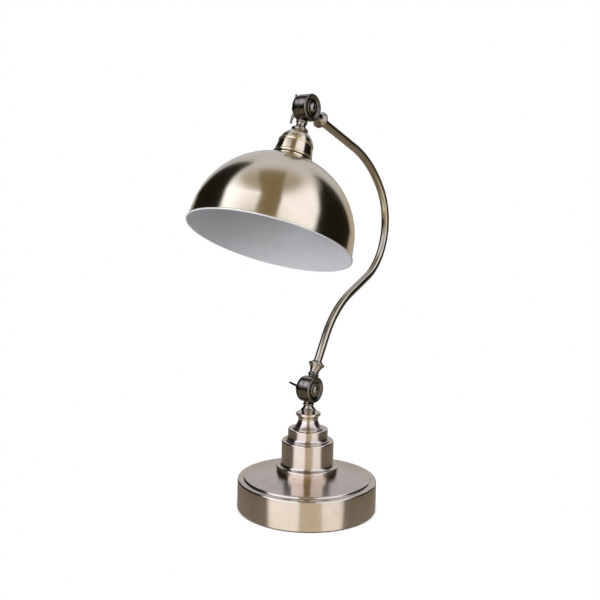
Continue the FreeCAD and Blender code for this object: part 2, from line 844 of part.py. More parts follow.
def arm_route(skip):
    """Straight runs and tangent arcs from the lower joint to the upper one.

    The path starts and ends the given distance short of the joint centres. The upper joint's
    centre is returned with it.
    """
    lower = FreeCAD.Vector(0, 0, number(D["lower_joint_height"]))
    angles = [
        number(D[key])
        for key in ("arm_heading_lower", "arm_heading_bow", "arm_heading_crest", "arm_heading_upper")
    ]
    radii = [number(D[key]) for key in ("arm_bend_lower", "arm_bend_bow", "arm_bend_upper")]
    runs = [number(D["arm_run_lower"]), number(D["arm_run_bow"]), 0, number(D["arm_run_upper"])]
    edges = []
    here = lower
    for i, run in enumerate(runs):
        way = heading(angles[i])
        after = here + way * run
        low = here + way * skip if i == 0 else here
        high = after - way * skip if i == len(runs) - 1 else after
        if run:
            edges.append(Part.LineSegment(low, high).toShape())
        here = after
        if i < len(radii):
            side = 1 if angles[i + 1] > angles[i] else -1
            centre = here + heading(angles[i] + 90 * side) * radii[i]
            middle = centre + heading((angles[i] + angles[i + 1]) / 2 - 90 * side) * radii[i]
            after = centre + heading(angles[i + 1] - 90 * side) * radii[i]
            edges.append(Part.Arc(here, middle, after).toShape())
            here = after
    return Part.Wire(edges), here


def swept(name, path, start, way, radius):
    """A round bar of the given radius along the path."""
    section = doc.addObject("Part::Circle", name + "_section")
    section.setExpression("Radius", radius.text)
    section.Placement = FreeCAD.Placement(start, FreeCAD.Rotation(UP, way))
    bar = doc.addObject("Part::Sweep", name)
    bar.Sections = [section]
    bar.Spine = (path, [f"Edge{i + 1}" for i in range(len(path.Shape.Edges))])
    bar.Solid = True
    bar.Frenet = False
    return bar


def arm_path(name, skip):
    """A hidden path feature along the arm, with the place and direction of its first end."""
    wire, upper_joint = arm_route(skip)
    path = doc.addObject("Part::Feature", name)
    path.Shape = wire
    way = heading(number(D["arm_heading_lower"]))
    start = FreeCAD.Vector(0, 0, number(D["lower_joint_height"])) + way * skip
    return path, start, way


def arm_tube():
    """The bent tube: its bore is swept along the same route as its outside."""
    skip = number(D["collar_length"] - D["tube_socket_depth"]) + 0.1
    path, start, way = arm_path("arm_tube_path", skip)
    tube = doc.addObject("Part::Cut", "arm_tube")
    tube.Label = "arm_tube"
    tube.Base = swept("arm_tube_outside", path, start, way, D["tube_radius"])
    tube.Tool = swept("arm_tube_bore", path, start, way, D["tube_bore_radius"])
    return tube


def arm_lead():
    """The lead inside the arm, from one knuckle's neck to the other's."""
    skip = number(D["bead_start"])
    path, start, way = arm_path("arm_lead_path", skip)
    return swept("arm_lead", path, start, way, D["lead_radius"])


def base_lead():
    """The lead inside the base: along the weight's slot, round a bend and up the rod."""
    level = number(D["outlet_height"]) - 2
    bend = number(D["rod_bottom"]) - level
    outer = number(D["base_radius"]) - 9
    top = number(D["lower_joint_height"]) - number(D["bead_start"])
    middle = bend * (1 - math.sqrt(0.5))
    points = [
        FreeCAD.Vector(0, outer, level),
        FreeCAD.Vector(0, bend, level),
        FreeCAD.Vector(0, middle, level + middle),
        FreeCAD.Vector(0, 0, level + bend),
        FreeCAD.Vector(0, 0, top),
    ]
    path = doc.addObject("Part::Feature", "base_lead_path")
    path.Shape = Part.Wire([
        Part.LineSegment(points[0], points[1]).toShape(),
        Part.Arc(points[1], points[2], points[3]).toShape(),
        Part.LineSegment(points[3], points[4]).toShape(),
    ])
    return swept("base_lead", path, points[0], FreeCAD.Vector(0, -1, 0), D["lead_radius"])


# ---------------------------------------------------------------------------
# Head
# ---------------------------------------------------------------------------
# The head's pieces are turned about their own Z, which runs down the head's axis from
# the upper joint.

def neck_ring():
    """Locking ring between the head's neck and the cap, with a small and a large bead."""
    start, end, step = D["head_neck_end"], D["ring_end"], D["ring_step"]
    small, large, bulge = D["ring_small_radius"], D["ring_radius"], D["ring_bulge"]
    hole = D["nipple_radius"] + D["rod_fit"]
    outline = Outline(hole, start).line(small - bulge, start).line(small, start + bulge)
    outline.line(small, start + step).line(large - bulge, start + step)
    outline.arc(large - bulge, end, D["ring_round"], 1).line(hole, end)
    return turned("neck_ring", outline)


def socket_cap():
    """Spun bell cap: a round shoulder, a bead at mid height and a rolled lip."""
    wall, step, hole = D["cap_wall"], D["cap_bead_step"], D["nipple_radius"] + D["cap_hole_play"]
    top, side, skirt = D["cap_top_radius"], D["cap_side_radius"], D["cap_skirt_radius"]
    low, bead_start, bead_end = D["ring_end"], D["cap_side_start"], D["cap_bead_end"]
    lip_start, lip, end = D["cap_skirt_end"], D["cap_lip_radius"], D["cap_end"]
    flare, edge = D["cap_lip_flare"], D["cap_lip_round"]
    outline = Outline(hole, low).line(top, low).dome(side, bead_start, 1)
    outline.line(side - step, bead_start + step)
    outline.arc(side - step, bead_end, D["cap_bead_round"], 1)
    outline.line(side + step, bead_end + step).line(skirt, lip_start)
    outline.arc(lip, lip_start + edge, flare, -1)
    outline.arc(lip - step, end - step, edge, 1).line(lip - step * 4, end)
    outline.line(skirt - wall, lip_start + wall)
    outline.line(side - wall - step, bead_end).line(side - wall - step, bead_start + wall)
    outline.dome(top, low + wall, -1).line(hole, low + wall)
    return turned("socket_cap", outline)


def shade():
    """Spun dome: a raised crown, a spherical dome, a slightly flared skirt and a beaded rim."""
    wall, bead, hole = D["shade_wall"], D["rim_bead_radius"], D["shade_hole_radius"]
    crown, top, corner = D["crown_radius"], D["crown_top"], D["crown_round"]
    skirt, end, rim = D["shade_skirt_start"], D["shade_end"], D["shade_rim_radius"]
    crown_inside, crown_foot = crown - wall, crown + D["crown_draft"]
    outline = Outline(hole, top).line(crown - corner, top)
    outline.arc(crown, top + corner, corner, 1)
    outline.line(crown_foot, dome_height(crown_foot, 0))
    outline.dome(dome_reach(skirt, 0), skirt, 1)
    outline.line(rim - bead * 1.3, end - bead * 2)
    outline.arc(rim, end - bead, bead, 1)
    outline.arc(rim - bead, end, bead, 1)
    outline.arc(rim - bead * 2, end - bead, bead, 1)
    outline.line(dome_reach(skirt, wall.value), skirt)
    outline.dome(crown_inside, dome_height(crown_inside, wall.value), -1)
    outline.line(crown_inside, top + wall).line(hole, top + wall)
    return turned("shade", outline)


def dome_height(reach, inset):
    """Where the shade's dome, set in by a wall, has the given radius about the axis."""
    sphere = D["shade_sphere_radius"].value - inset
    value = D["shade_sphere_centre"].value - math.sqrt(sphere ** 2 - reach.value ** 2)
    text = f"(sizes.shade_sphere_centre - sqrt(({sphere_text(inset)}) ^ 2 - {reach.text} ^ 2))"
    return Size(value, text)


def dome_reach(height, inset):
    """The radius about the axis that the shade's dome, set in by a wall, has at a height."""
    sphere = D["shade_sphere_radius"].value - inset
    value = math.sqrt(sphere ** 2 - (D["shade_sphere_centre"].value - height.value) ** 2)
    text = f"sqrt(({sphere_text(inset)}) ^ 2 - (sizes.shade_sphere_centre - {height.text}) ^ 2)"
    return Size(value, text)


def sphere_text(inset):
    return "sizes.shade_sphere_radius" + (" - sizes.shade_wall" if inset else "")


def lampholder_body():
    """Moulded insert of the bulb socket: a solid head, a flange and a long open skirt."""
    start, end, chamfer = D["holder_start"], D["holder_end"], D["holder_body_chamfer"]
    cavity, cavity_start = D["holder_cavity_radius"], D["holder_cavity_start"]
    barrel, flange, skirt = D["holder_body_radius"], D["holder_flange_radius"], D["holder_skirt_radius"]
    flange_low, flange_high = D["holder_flange_start"], D["crown_top"]
    thread, bore = D["nipple_radius"] + D["rod_fit"], D["neck_bore_radius"]
    lead_end, nipple_end = start + D["holder_lead_depth"], D["nipple_end"] + D["nipple_gap"]
    outline = Outline(0, lead_end).line(bore, lead_end).line(bore, nipple_end)
    outline.line(thread, nipple_end).line(thread, start)
    outline.line(barrel - chamfer, start).line(barrel, start + chamfer).line(barrel, flange_low)
    outline.line(flange, flange_low).line(flange, flange_high).line(skirt, flange_high)
    outline.line(skirt, end - D["holder_end_chamfer"]).line(skirt - D["holder_end_chamfer"], end)
    outline.line(cavity, end).line(cavity, cavity_start).line(0, cavity_start)
    return turned("lampholder_body", outline)


def screw_shell():
    """Plain brass liner of the socket."""
    return turned(
        "screw_shell",
        ring(D["shell_bore_radius"], D["shell_outer_radius"], D["shell_start"], D["shell_end"]),
    )


def centre_contact():
    """The contact at the bottom of the socket."""
    low, radius, high = D["holder_cavity_start"], D["contact_radius"], D["contact_height"]
    outline = Outline(0, low).line(radius, low).line(radius, low + D["contact_edge"])
    outline.line(radius - D["contact_chamfer"], low + high).line(0, low + high)
    return turned("centre_contact", outline)


def shade_ring():
    """Threaded ring inside the shade that holds it up against the socket's flange."""
    low, bore, outer = D["crown_top"] + D["shade_wall"], D["shade_ring_bore"], D["shade_ring_radius"]
    high, chamfer = low + D["shade_ring_height"], D["shade_ring_chamfer"]
    neck, flange = D["crown_radius"] - D["shade_wall"] - D["shade_ring_neck_play"], D["shade_ring_flange"]
    outline = Outline(bore, low).line(neck, low).line(neck, high - flange)
    outline.line(outer, high - flange).line(outer, high - chamfer)
    outline.line(outer - chamfer, high).line(bore, high)
    return turned("shade_ring", outline)


def nipple_pieces():
    """The hollow nipple between neck and lampholder, and the nut that clamps the cap on it."""
    nipple = turned(
        "head_nipple",
        ring(D["nipple_bore_radius"], D["nipple_radius"], D["nipple_start"], D["nipple_end"]),
    )
    nut = hexagon_nut(
        "nipple_nut",
        D["nipple_nut_corners"],
        D["nipple_nut_thickness"],
        D["nipple_radius"] + D["rod_fit"],
        D["ring_end"] + D["cap_wall"],
    )
    return [nipple, nut]


def head_lead():
    """The lead from the head's knuckle down to the lampholder."""
    end = D["holder_start"] + D["holder_lead_depth"] - D["nipple_gap"]
    return turned("head_lead", ring(0, D["lead_radius"], D["bead_start"], end))


# ---------------------------------------------------------------------------
# Assembly
# ---------------------------------------------------------------------------

def place(piece, centre, degrees):
    """Turns a piece drawn about a joint centre by an angle about X and moves it there."""
    piece.Placement = FreeCAD.Placement(centre, FreeCAD.Rotation(RIGHT, degrees)).multiply(piece.Placement)


def joint_hardware(prefix, centre, carrier_turn, arm_turn, wing_turn):
    """The bolt, washers and wing nut of one joint."""
    pieces = []
    for build, part_name, degrees in (
        (joint_bolt, "bolt", arm_turn),
        (face_washer, "face_washer", arm_turn),
        (friction_washer, "friction_washer", carrier_turn),
        (spring_washer, "spring_washer", carrier_turn),
        (wing_nut, "wing_nut", wing_turn),
    ):
        piece = build(f"{prefix}_{part_name}")
        place(piece, centre, degrees)
        pieces.append(piece)
    return pieces


def assemble():
    """Makes every piece in its place and returns them in order."""
    lower = FreeCAD.Vector(0, 0, number(D["lower_joint_height"]))
    upper = arm_route(0)[1]
    head_turn = 180 - number(D["head_tilt"])
    lower_turn = -number(D["arm_heading_lower"])
    upper_turn = -180 - number(D["arm_heading_upper"])

    pieces = [base_cover(), base_weight(), base_pad(), cord_bushing()]
    pieces += [pedestal_drum(), pedestal_tier(), pedestal_bell()]
    pieces += rod_pieces()

    castings = [
        (carrier_knuckle("base_knuckle", foot_neck), lower, 180),
        (arm_knuckle("arm_lower_knuckle"), lower, lower_turn),
        (arm_knuckle("arm_upper_knuckle"), upper, upper_turn),
        (carrier_knuckle("head_knuckle", socket_neck), upper, head_turn),
    ]
    for casting, centre, degrees in castings:
        place(casting, centre, degrees)
        pieces.append(casting)

    pieces += joint_hardware("lower", lower, 180, lower_turn, number(D["wing_lower_turn"]))
    pieces += joint_hardware("upper", upper, head_turn, upper_turn, number(D["wing_upper_turn"]))
    pieces += [arm_tube(), arm_lead(), base_lead()]

    head = [neck_ring(), socket_cap(), shade(), lampholder_body(), screw_shell()]
    head += [centre_contact(), shade_ring(), head_lead()]
    head += nipple_pieces()
    doc.recompute()
    for piece in head:
        place(piece, upper, head_turn)
    return pieces + head


def check_all(pieces):
    """Stops if any object of the document failed or any piece isn't one valid solid."""
    for thing in doc.Objects:
        if any(state in ("Invalid", "Error") for state in thing.State):
            raise RuntimeError(f"{thing.Name} failed: {thing.State}")
    for piece in pieces:
        shape = piece.Shape
        if shape.isNull() or not shape.isValid():
            raise RuntimeError(f"{piece.Label} has no valid shape")
        if len(shape.Solids) != 1:
            raise RuntimeError(f"{piece.Label} has {len(shape.Solids)} solids")


def export(pieces):
    os.makedirs("parts", exist_ok=True)
    for piece in pieces:
        piece.Shape.exportStep(f"parts/{piece.Label}.step")
        print(f"{piece.Label:22s} {piece.Shape.Volume / 1000:9.3f} cm3")


parts = assemble()
doc.recompute()
check_all(parts)
export(parts)
print(len(parts), "pieces, upper joint at", arm_route(0)[1])
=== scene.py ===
import bmesh
import bpy
import math
from mathutils import Matrix, Vector


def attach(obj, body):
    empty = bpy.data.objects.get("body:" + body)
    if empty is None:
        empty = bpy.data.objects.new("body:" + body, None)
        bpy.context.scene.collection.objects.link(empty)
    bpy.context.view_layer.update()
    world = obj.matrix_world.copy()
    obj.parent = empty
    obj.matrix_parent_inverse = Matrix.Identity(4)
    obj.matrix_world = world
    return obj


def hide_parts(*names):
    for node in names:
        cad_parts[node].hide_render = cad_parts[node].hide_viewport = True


# Desk lamp with a dome shade: turned brass base, bent tube arm and two swivel knuckles.
# Outlines are in millimetres and are turned into metres when a mesh is made.

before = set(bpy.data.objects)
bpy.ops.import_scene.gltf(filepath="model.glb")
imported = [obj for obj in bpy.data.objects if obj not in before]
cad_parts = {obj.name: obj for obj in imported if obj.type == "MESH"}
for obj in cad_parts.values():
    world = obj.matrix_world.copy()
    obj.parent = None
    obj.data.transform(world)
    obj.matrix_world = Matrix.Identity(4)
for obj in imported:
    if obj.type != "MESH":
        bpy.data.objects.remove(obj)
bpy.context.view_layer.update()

MM = 0.001
LOWER_JOINT = Vector((0, 0, 138.7))
UPPER_JOINT = Vector((0, -17.389, 451.199))
HEAD_TURN = 157.5
ROUND_STEPS = 192
LARGE_STEPS = 256
MERGE_WITHIN = 0.002 * MM
UV_LENGTH = 100

CAMERA_TURN = 36.7
CAMERA_RISE = 6.4
CAMERA_ROLL = 1.2
CAMERA_LENS = 49.293
CAMERA_DISTANCE = 935.8
CAMERA_TARGET = Vector((-15.3, 0, 239.5))

OUTLET_HEIGHT = 10.5
BASE_RADIUS = 80
SHADE_RADIUS = 87.6
SHADE_CENTRE = 147.5
SHADE_WALL = 1
SKIRT_START = 134
NECK_STARTS = 18.8


# ---------------------------------------------------------------------------
# Camera
# ---------------------------------------------------------------------------

def set_camera():
    """The photograph's view: a little above the ledge of the base, with a slight roll."""
    turn, rise, roll = (math.radians(a) for a in (CAMERA_TURN, CAMERA_RISE, CAMERA_ROLL))
    back = Vector((math.sin(turn) * math.cos(rise), -math.cos(turn) * math.cos(rise), math.sin(rise)))
    level = Vector((math.cos(turn), math.sin(turn), 0))
    upright = back.cross(level)
    right = level * math.cos(roll) + upright * math.sin(roll)
    up = upright * math.cos(roll) - level * math.sin(roll)
    camera = bpy.data.objects.new("camera", bpy.data.cameras.new("camera"))
    bpy.context.scene.collection.objects.link(camera)
    camera.data.sensor_width = 36
    camera.data.lens = CAMERA_LENS
    placing = Matrix((right, up, back)).transposed().to_4x4()
    placing.translation = (CAMERA_TARGET + back * CAMERA_DISTANCE) * MM
    camera.matrix_world = placing
    bpy.context.scene.camera = camera


# ---------------------------------------------------------------------------
# Node helpers
# ---------------------------------------------------------------------------

def node(tree, kind, *values, **settings):
    """A node with its settings and its inputs in order: a value, a socket, or None."""
    made = tree.nodes.new(kind)
    for key, value in settings.items():
        setattr(made, key, value)
    for socket, value in zip(made.inputs, values):
        put(tree, socket, value)
    return made


def put(tree, socket, value):
    if isinstance(value, bpy.types.NodeSocket):
        tree.links.new(value, socket)
    elif value is not None:
        socket.default_value = value


def maths(tree, operation, *values, clamp=False):
    return node(tree, "ShaderNodeMath", *values, operation=operation, use_clamp=clamp).outputs[0]


def ramp(tree, value, low, high, to_low=0.0, to_high=1.0):
    """Goes smoothly from one value to another between two points."""
    made = node(tree, "ShaderNodeMapRange", value, low, high, to_low, to_high,
                interpolation_type="SMOOTHSTEP")
    return made.outputs[0]


def between(tree, value, low, high, soft):
    """1 inside a band and 0 outside it, with soft edges."""
    rise = ramp(tree, value, low - soft, low + soft)
    fall = ramp(tree, value, high - soft, high + soft, 1.0, 0.0)
    return maths(tree, "MULTIPLY", rise, fall)


def mixed(tree, amount, first, second):
    """One colour over another by an amount."""
    made = tree.nodes.new("ShaderNodeMix")
    made.data_type = "RGBA"
    for socket, value in zip((made.inputs[0], made.inputs[6], made.inputs[7]), (amount, first, second)):
        put(tree, socket, value)
    return made.outputs[2]


def rgb(red, green, blue):
    return (red, green, blue, 1.0)


def effect(name, inputs, outputs):
    """A shader node group with named inputs (name, default) and named outputs."""
    group = bpy.data.node_groups.new(name, "ShaderNodeTree")
    for key, default in inputs:
        kind = "NodeSocketVector" if default is None else "NodeSocketFloat"
        socket = group.interface.new_socket(key, in_out="INPUT", socket_type=kind)
        if default is not None:
            socket.default_value = default
    for key in outputs:
        group.interface.new_socket(key, in_out="OUTPUT", socket_type="NodeSocketFloat")
    return group, node(group, "NodeGroupInput").outputs, node(group, "NodeGroupOutput").inputs


def use(tree, group, **values):
    """The group placed in a material, with its inputs by name."""
    made = tree.nodes.new("ShaderNodeGroup")
    made.node_tree = group
    for key, value in values.items():
        put(tree, made.inputs[key], value)
    return made.outputs


def noise(tree, vector, scale, detail, dimensions="3D", w=None):
    made = tree.nodes.new("ShaderNodeTexNoise")
    made.noise_dimensions = dimensions
    put(tree, made.inputs["Vector"], vector)
    made.inputs["Scale"].default_value = scale
    made.inputs["Detail"].default_value = detail
    if w is not None:
        put(tree, made.inputs["W"], w)
    return made.outputs[0]


# ---------------------------------------------------------------------------
# Shared surface effects
# ---------------------------------------------------------------------------

def lathe_marks():
    """Fine rings about the piece's own Z axis, as brushing on a lathe leaves them."""
    group, given, wanted = effect("lathe marks", [("Place", None), ("Fineness", 900.0)], ["Marks", "Haze"])
    axes = node(group, "ShaderNodeSeparateXYZ", given["Place"]).outputs
    flat = node(group, "ShaderNodeCombineXYZ", axes[0], axes[1], 0.0).outputs[0]
    reach = node(group, "ShaderNodeVectorMath", flat, operation="LENGTH").outputs["Value"]
    way = node(group, "ShaderNodeSeparateXYZ",
               node(group, "ShaderNodeVectorMath", flat, operation="NORMALIZE").outputs[0]).outputs
    ring = maths(group, "MULTIPLY", reach, given["Fineness"])
    level = maths(group, "MULTIPLY", axes[2], given["Fineness"])
    place = node(group, "ShaderNodeCombineXYZ", ring, level, maths(group, "MULTIPLY", way[0], 1.6)).outputs[0]
    fine = noise(group, place, 1.0, 3.0, "4D", maths(group, "MULTIPLY", way[1], 1.6))
    put(group, wanted["Marks"], fine)
    broad = node(group, "ShaderNodeVectorMath", place, operation="SCALE")
    broad.inputs["Scale"].default_value = 0.11
    haze = noise(group, broad.outputs[0], 1.0, 2.0, "4D", way[1])
    put(group, wanted["Haze"], ramp(group, haze, 0.3, 0.7))
    return group


def drawn_marks():
    """Fine lines along a drawn tube, from its UV map."""
    group, given, wanted = effect("drawn marks", [("Place", None), ("Fineness", 60.0)], ["Marks"])
    axes = node(group, "ShaderNodeSeparateXYZ", given["Place"]).outputs
    turn = maths(group, "MULTIPLY", axes[0], 2 * math.pi)
    across_lines = maths(group, "MULTIPLY", maths(group, "COSINE", turn), given["Fineness"])
    beside_lines = maths(group, "MULTIPLY", maths(group, "SINE", turn), given["Fineness"])
    place = node(group, "ShaderNodeCombineXYZ", across_lines, beside_lines, axes[1]).outputs[0]
    put(group, wanted["Marks"], noise(group, place, 1.0, 3.0))
    return group


def tarnish():
    """Cloudy darkening, heavier in hollows and rubbed away on outer edges."""
    group, given, wanted = effect(
        "tarnish", [("Place", None), ("Scale", 60.0), ("Edge", 0.0)], ["Clouds", "Rubbed", "Hollow"]
    )
    clouds = noise(group, given["Place"], 1.0, 5.0)
    group.links.new(given["Scale"], clouds.node.inputs["Scale"])
    put(group, wanted["Clouds"], ramp(group, clouds, 0.38, 0.68))
    speck = noise(group, given["Place"], 700.0, 3.0)
    outer = ramp(group, given["Edge"], 0.06, 0.5)
    put(group, wanted["Rubbed"], maths(group, "MULTIPLY", outer, ramp(group, speck, 0.25, 0.6)))
    put(group, wanted["Hollow"], ramp(group, given["Edge"], -0.06, -0.5))
    return group


def specks():
    """Small round grains for cast iron, foam, fibre and moulded plastic."""
    group, given, wanted = effect("specks", [("Place", None), ("Scale", 900.0)], ["Grain", "Patches"])
    cells = tree_voronoi(group, given["Place"])
    group.links.new(given["Scale"], cells.inputs["Scale"])
    put(group, wanted["Grain"], cells.outputs["Distance"])
    put(group, wanted["Patches"], noise(group, given["Place"], 90.0, 4.0))
    return group


def tree_voronoi(tree, vector):
    cells = tree.nodes.new("ShaderNodeTexVoronoi")
    put(tree, cells.inputs["Vector"], vector)
    return cells


LATHE_MARKS = lathe_marks()
DRAWN_MARKS = drawn_marks()
TARNISH = tarnish()
SPECKS = specks()


# ---------------------------------------------------------------------------
# Finishes
# ---------------------------------------------------------------------------

def new_finish(name):
    """A new material, its node tree and its shader."""
    material = bpy.data.materials.new(name)
    material.use_nodes = True
    tree = material.node_tree
    return material, tree, tree.nodes["Principled BSDF"]


def own_place(tree, centre=None, degrees=0.0, axis="X"):
    """Object coordinates, turned so that the piece's own axis is Z and its centre is 0."""
    place = node(tree, "ShaderNodeTexCoord").outputs["Object"]
    if centre is None:
        return place
    moved = node(tree, "ShaderNodeVectorMath", place, tuple(centre * MM), operation="SUBTRACT").outputs[0]
    turn = node(tree, "ShaderNodeMapping", moved, vector_type="POINT")
    back = math.radians(-degrees)
    turn.inputs["Rotation"].default_value = (back, 0, 0) if axis == "X" else (0, back, 0)
    return turn.outputs[0]


def bumped(tree, shader, height, depth, strength=1.0):
    bump = tree.nodes.new("ShaderNodeBump")
    bump.inputs["Strength"].default_value = strength
    bump.inputs["Distance"].default_value = depth
    put(tree, bump.inputs["Height"], height)
    put(tree, shader.inputs["Normal"], bump.outputs[0])


def brass(name, light, deep, place_args=(), roughness=0.2, marks=0.000004, brushed=0.0, lacquer=0.1,
          cloud=0.3, drawn=False, polished_from=None, worn=0.8):
    """Lacquered antique brass: brushing, cloudy toning, bright edges and dark hollows.

    Past polished_from, in mm from the middle of the joint, the bronze turns to brighter brass.
    """
    material, tree, shader = new_finish(name)
    place = own_place(tree, *place_args)
    edge = node(tree, "ShaderNodeAttribute", attribute_name="edge").outputs["Fac"]
    if drawn:
        lines = node(tree, "ShaderNodeTexCoord").outputs["UV"]
        fine = use(tree, DRAWN_MARKS, Place=lines, Fineness=14.0)["Marks"]
        rings = {"Marks": fine, "Haze": fine}
    else:
        rings = use(tree, LATHE_MARKS, Place=place, Fineness=900.0)
    toned = use(tree, TARNISH, Place=place, Scale=55.0, Edge=edge)
    shade = maths(tree, "MULTIPLY", toned["Clouds"], cloud)
    shade = maths(tree, "ADD", shade, maths(tree, "MULTIPLY", rings["Haze"], cloud * 0.5))
    shade = maths(tree, "ADD", shade, maths(tree, "MULTIPLY", toned["Hollow"], 0.6), clamp=True)
    colour = mixed(tree, shade, rgb(*light), rgb(*deep))
    colour = mixed(tree, maths(tree, "MULTIPLY", toned["Rubbed"], worn), colour, rgb(*BRASS_RUBBED))
    if polished_from:
        reach = node(tree, "ShaderNodeVectorMath", place, operation="LENGTH").outputs["Value"]
        soft = 0.3
        neck = ramp(tree, reach, (polished_from - soft) * MM, (polished_from + soft) * MM)
        bright = mixed(tree, shade, rgb(*NECK_LIGHT), rgb(*NECK_DEEP))
        colour = mixed(tree, neck, colour, bright)
    put(tree, shader.inputs["Base Color"], colour)
    shader.inputs["Metallic"].default_value = 1.0
    dull = maths(tree, "MULTIPLY_ADD", rings["Marks"], 0.06, roughness - 0.04)
    dull = maths(tree, "MULTIPLY_ADD", toned["Clouds"], 0.02, dull)
    dull = maths(tree, "MULTIPLY_ADD", toned["Hollow"], 0.15, dull)
    put(tree, shader.inputs["Roughness"], dull)
    shader.inputs["Coat Weight"].default_value = lacquer
    shader.inputs["Coat Roughness"].default_value = 0.12
    if brushed:
        tangent = node(tree, "ShaderNodeTangent", direction_type="UV_MAP", uv_map="UVMap")
        put(tree, shader.inputs["Tangent"], tangent.outputs[0])
        shader.inputs["Anisotropic"].default_value = brushed
        shader.inputs["Anisotropic Rotation"].default_value = 0.25
    bumped(tree, shader, rings["Marks"], marks)
    return material


def plated(name, light, deep, roughness, grain_scale, grain_depth, metallic=1.0):
    """Grained finish: zinc plate, cast iron, fibre, foam or moulded plastic."""
    material, tree, shader = new_finish(name)
    grain = use(tree, SPECKS, Place=own_place(tree), Scale=grain_scale)
    colour = mixed(tree, ramp(tree, grain["Patches"], 0.3, 0.7), rgb(*light), rgb(*deep))
    put(tree, shader.inputs["Base Color"], colour)
    shader.inputs["Metallic"].default_value = metallic
    put(tree, shader.inputs["Roughness"], maths(tree, "MULTIPLY_ADD", grain["Patches"], 0.2, roughness - 0.1))
    bumped(tree, shader, grain["Grain"], grain_depth)
    return material


def enamel():
    """White stove enamel inside the shade, with a faint orange peel and painted shade that darkens it toward
    the crown.
    """
    material, tree, shader = new_finish("white_enamel")
    grain = use(tree, SPECKS, Place=own_place(tree), Scale=380.0)
    colour = mixed(tree, ramp(tree, grain["Patches"], 0.35, 0.7), rgb(0.8, 0.8, 0.82), rgb(0.77, 0.77, 0.79))
    depth = node(tree, "ShaderNodeSeparateXYZ", own_place(tree, UPPER_JOINT, HEAD_TURN)).outputs[2]
    # Painted shade: the enamel's colour goes from white near the rim to grey toward the crown, where the
    # inside of the dome lies in shade.
    colour = mixed(tree, ramp(tree, depth, 0.15, 0.08), colour, rgb(0.5, 0.5, 0.51))
    put(tree, shader.inputs["Base Color"], colour)
    put(tree, shader.inputs["Roughness"], maths(tree, "MULTIPLY_ADD", grain["Patches"], 0.1, 0.34))
    shader.inputs["Coat Weight"].default_value = 0.2
    bumped(tree, shader, grain["Grain"], 0.00003, 0.4)
    return material


# ---------------------------------------------------------------------------
# Outlines and meshes
# ---------------------------------------------------------------------------

class Outline:
    """A closed outline of (radius, height) points with arcs and rounded corners."""

    def __init__(self, radius, height, corner=0.0):
        self.points = [(radius, height)]
        self.corners = {0: corner}

    def line(self, radius, height, corner=0.0):
        self.corners[len(self.points)] = corner
        self.points.append((radius, height))
        return self

    def arc(self, radius, height, bend, side):
        """An arc to the point, with its centre to the left (1) or right (-1)."""
        (ax, ay), (bx, by) = self.points[-1], (radius, height)
        chord = math.hypot(bx - ax, by - ay)
        reach = math.sqrt(max(bend * bend - chord * chord / 4, 0.0))
        cx = (ax + bx) / 2 - side * (by - ay) / chord * reach
        cy = (ay + by) / 2 + side * (bx - ax) / chord * reach
        start = math.atan2(ay - cy, ax - cx)
        swing = 2 * math.asin(min(chord / 2 / bend, 1.0)) * side
        steps = max(4, int(abs(math.degrees(swing)) / (2.0 if bend > 20 else 9)))
        for i in range(1, steps + 1):
            angle = start + swing * i / steps
            self.line(cx + bend * math.cos(angle), cy + bend * math.sin(angle))
        return self

    def dome(self, radius, height, side):
        """An arc whose centre lies on the turning axis."""
        (ra, ha), (rb, hb) = self.points[-1], (radius, height)
        centre = (rb * rb + hb * hb - ra * ra - ha * ha) / (2 * (hb - ha))
        return self.arc(radius, height, math.hypot(ra, ha - centre), side)

    def rounded(self):
        """The points, with small arcs in place of the corners that ask for one."""
        result = []
        count = len(self.points)
        for i, here in enumerate(self.points):
            corner = self.corners.get(i, 0.0)
            if not corner:
                result.append(here)
                continue
            before, after = self.points[i - 1], self.points[(i + 1) % count]
            result += round_corner(before, here, after, corner)
        return result


def round_corner(before, here, after, radius):
    a, p, b = Vector(before), Vector(here), Vector(after)
    u, v = (a - p).normalized(), (b - p).normalized()
    half = math.acos(max(-1.0, min(1.0, u.dot(v)))) / 2
    if half > math.radians(86):
        return [here]
    back = min(radius / math.tan(half), (a - p).length * 0.49, (b - p).length * 0.49)
    radius = back * math.tan(half)
    centre = p + (u + v).normalized() * (radius / math.sin(half))
    first, last = p + u * back - centre, p + v * back - centre
    steps = 5
    turn = first.angle_signed(last)
    points = []
    for i in range(steps + 1):
        spun = first.copy()
        spun.rotate(Matrix.Rotation(-turn * i / steps, 2))
        points.append(tuple(centre + spun))
    return points


def mesh_from(name, verts, faces, uvs=None):
    """A mesh in metres from millimetre points, with its UV map."""
    mesh = bpy.data.meshes.new(name)
    mesh.from_pydata([tuple(Vector(v) * MM) for v in verts], [], faces)
    if uvs:
        layer = mesh.uv_layers.new(name="UVMap")
        for loop, uv in zip(layer.data, uvs):
            loop.uv = uv
    return mesh


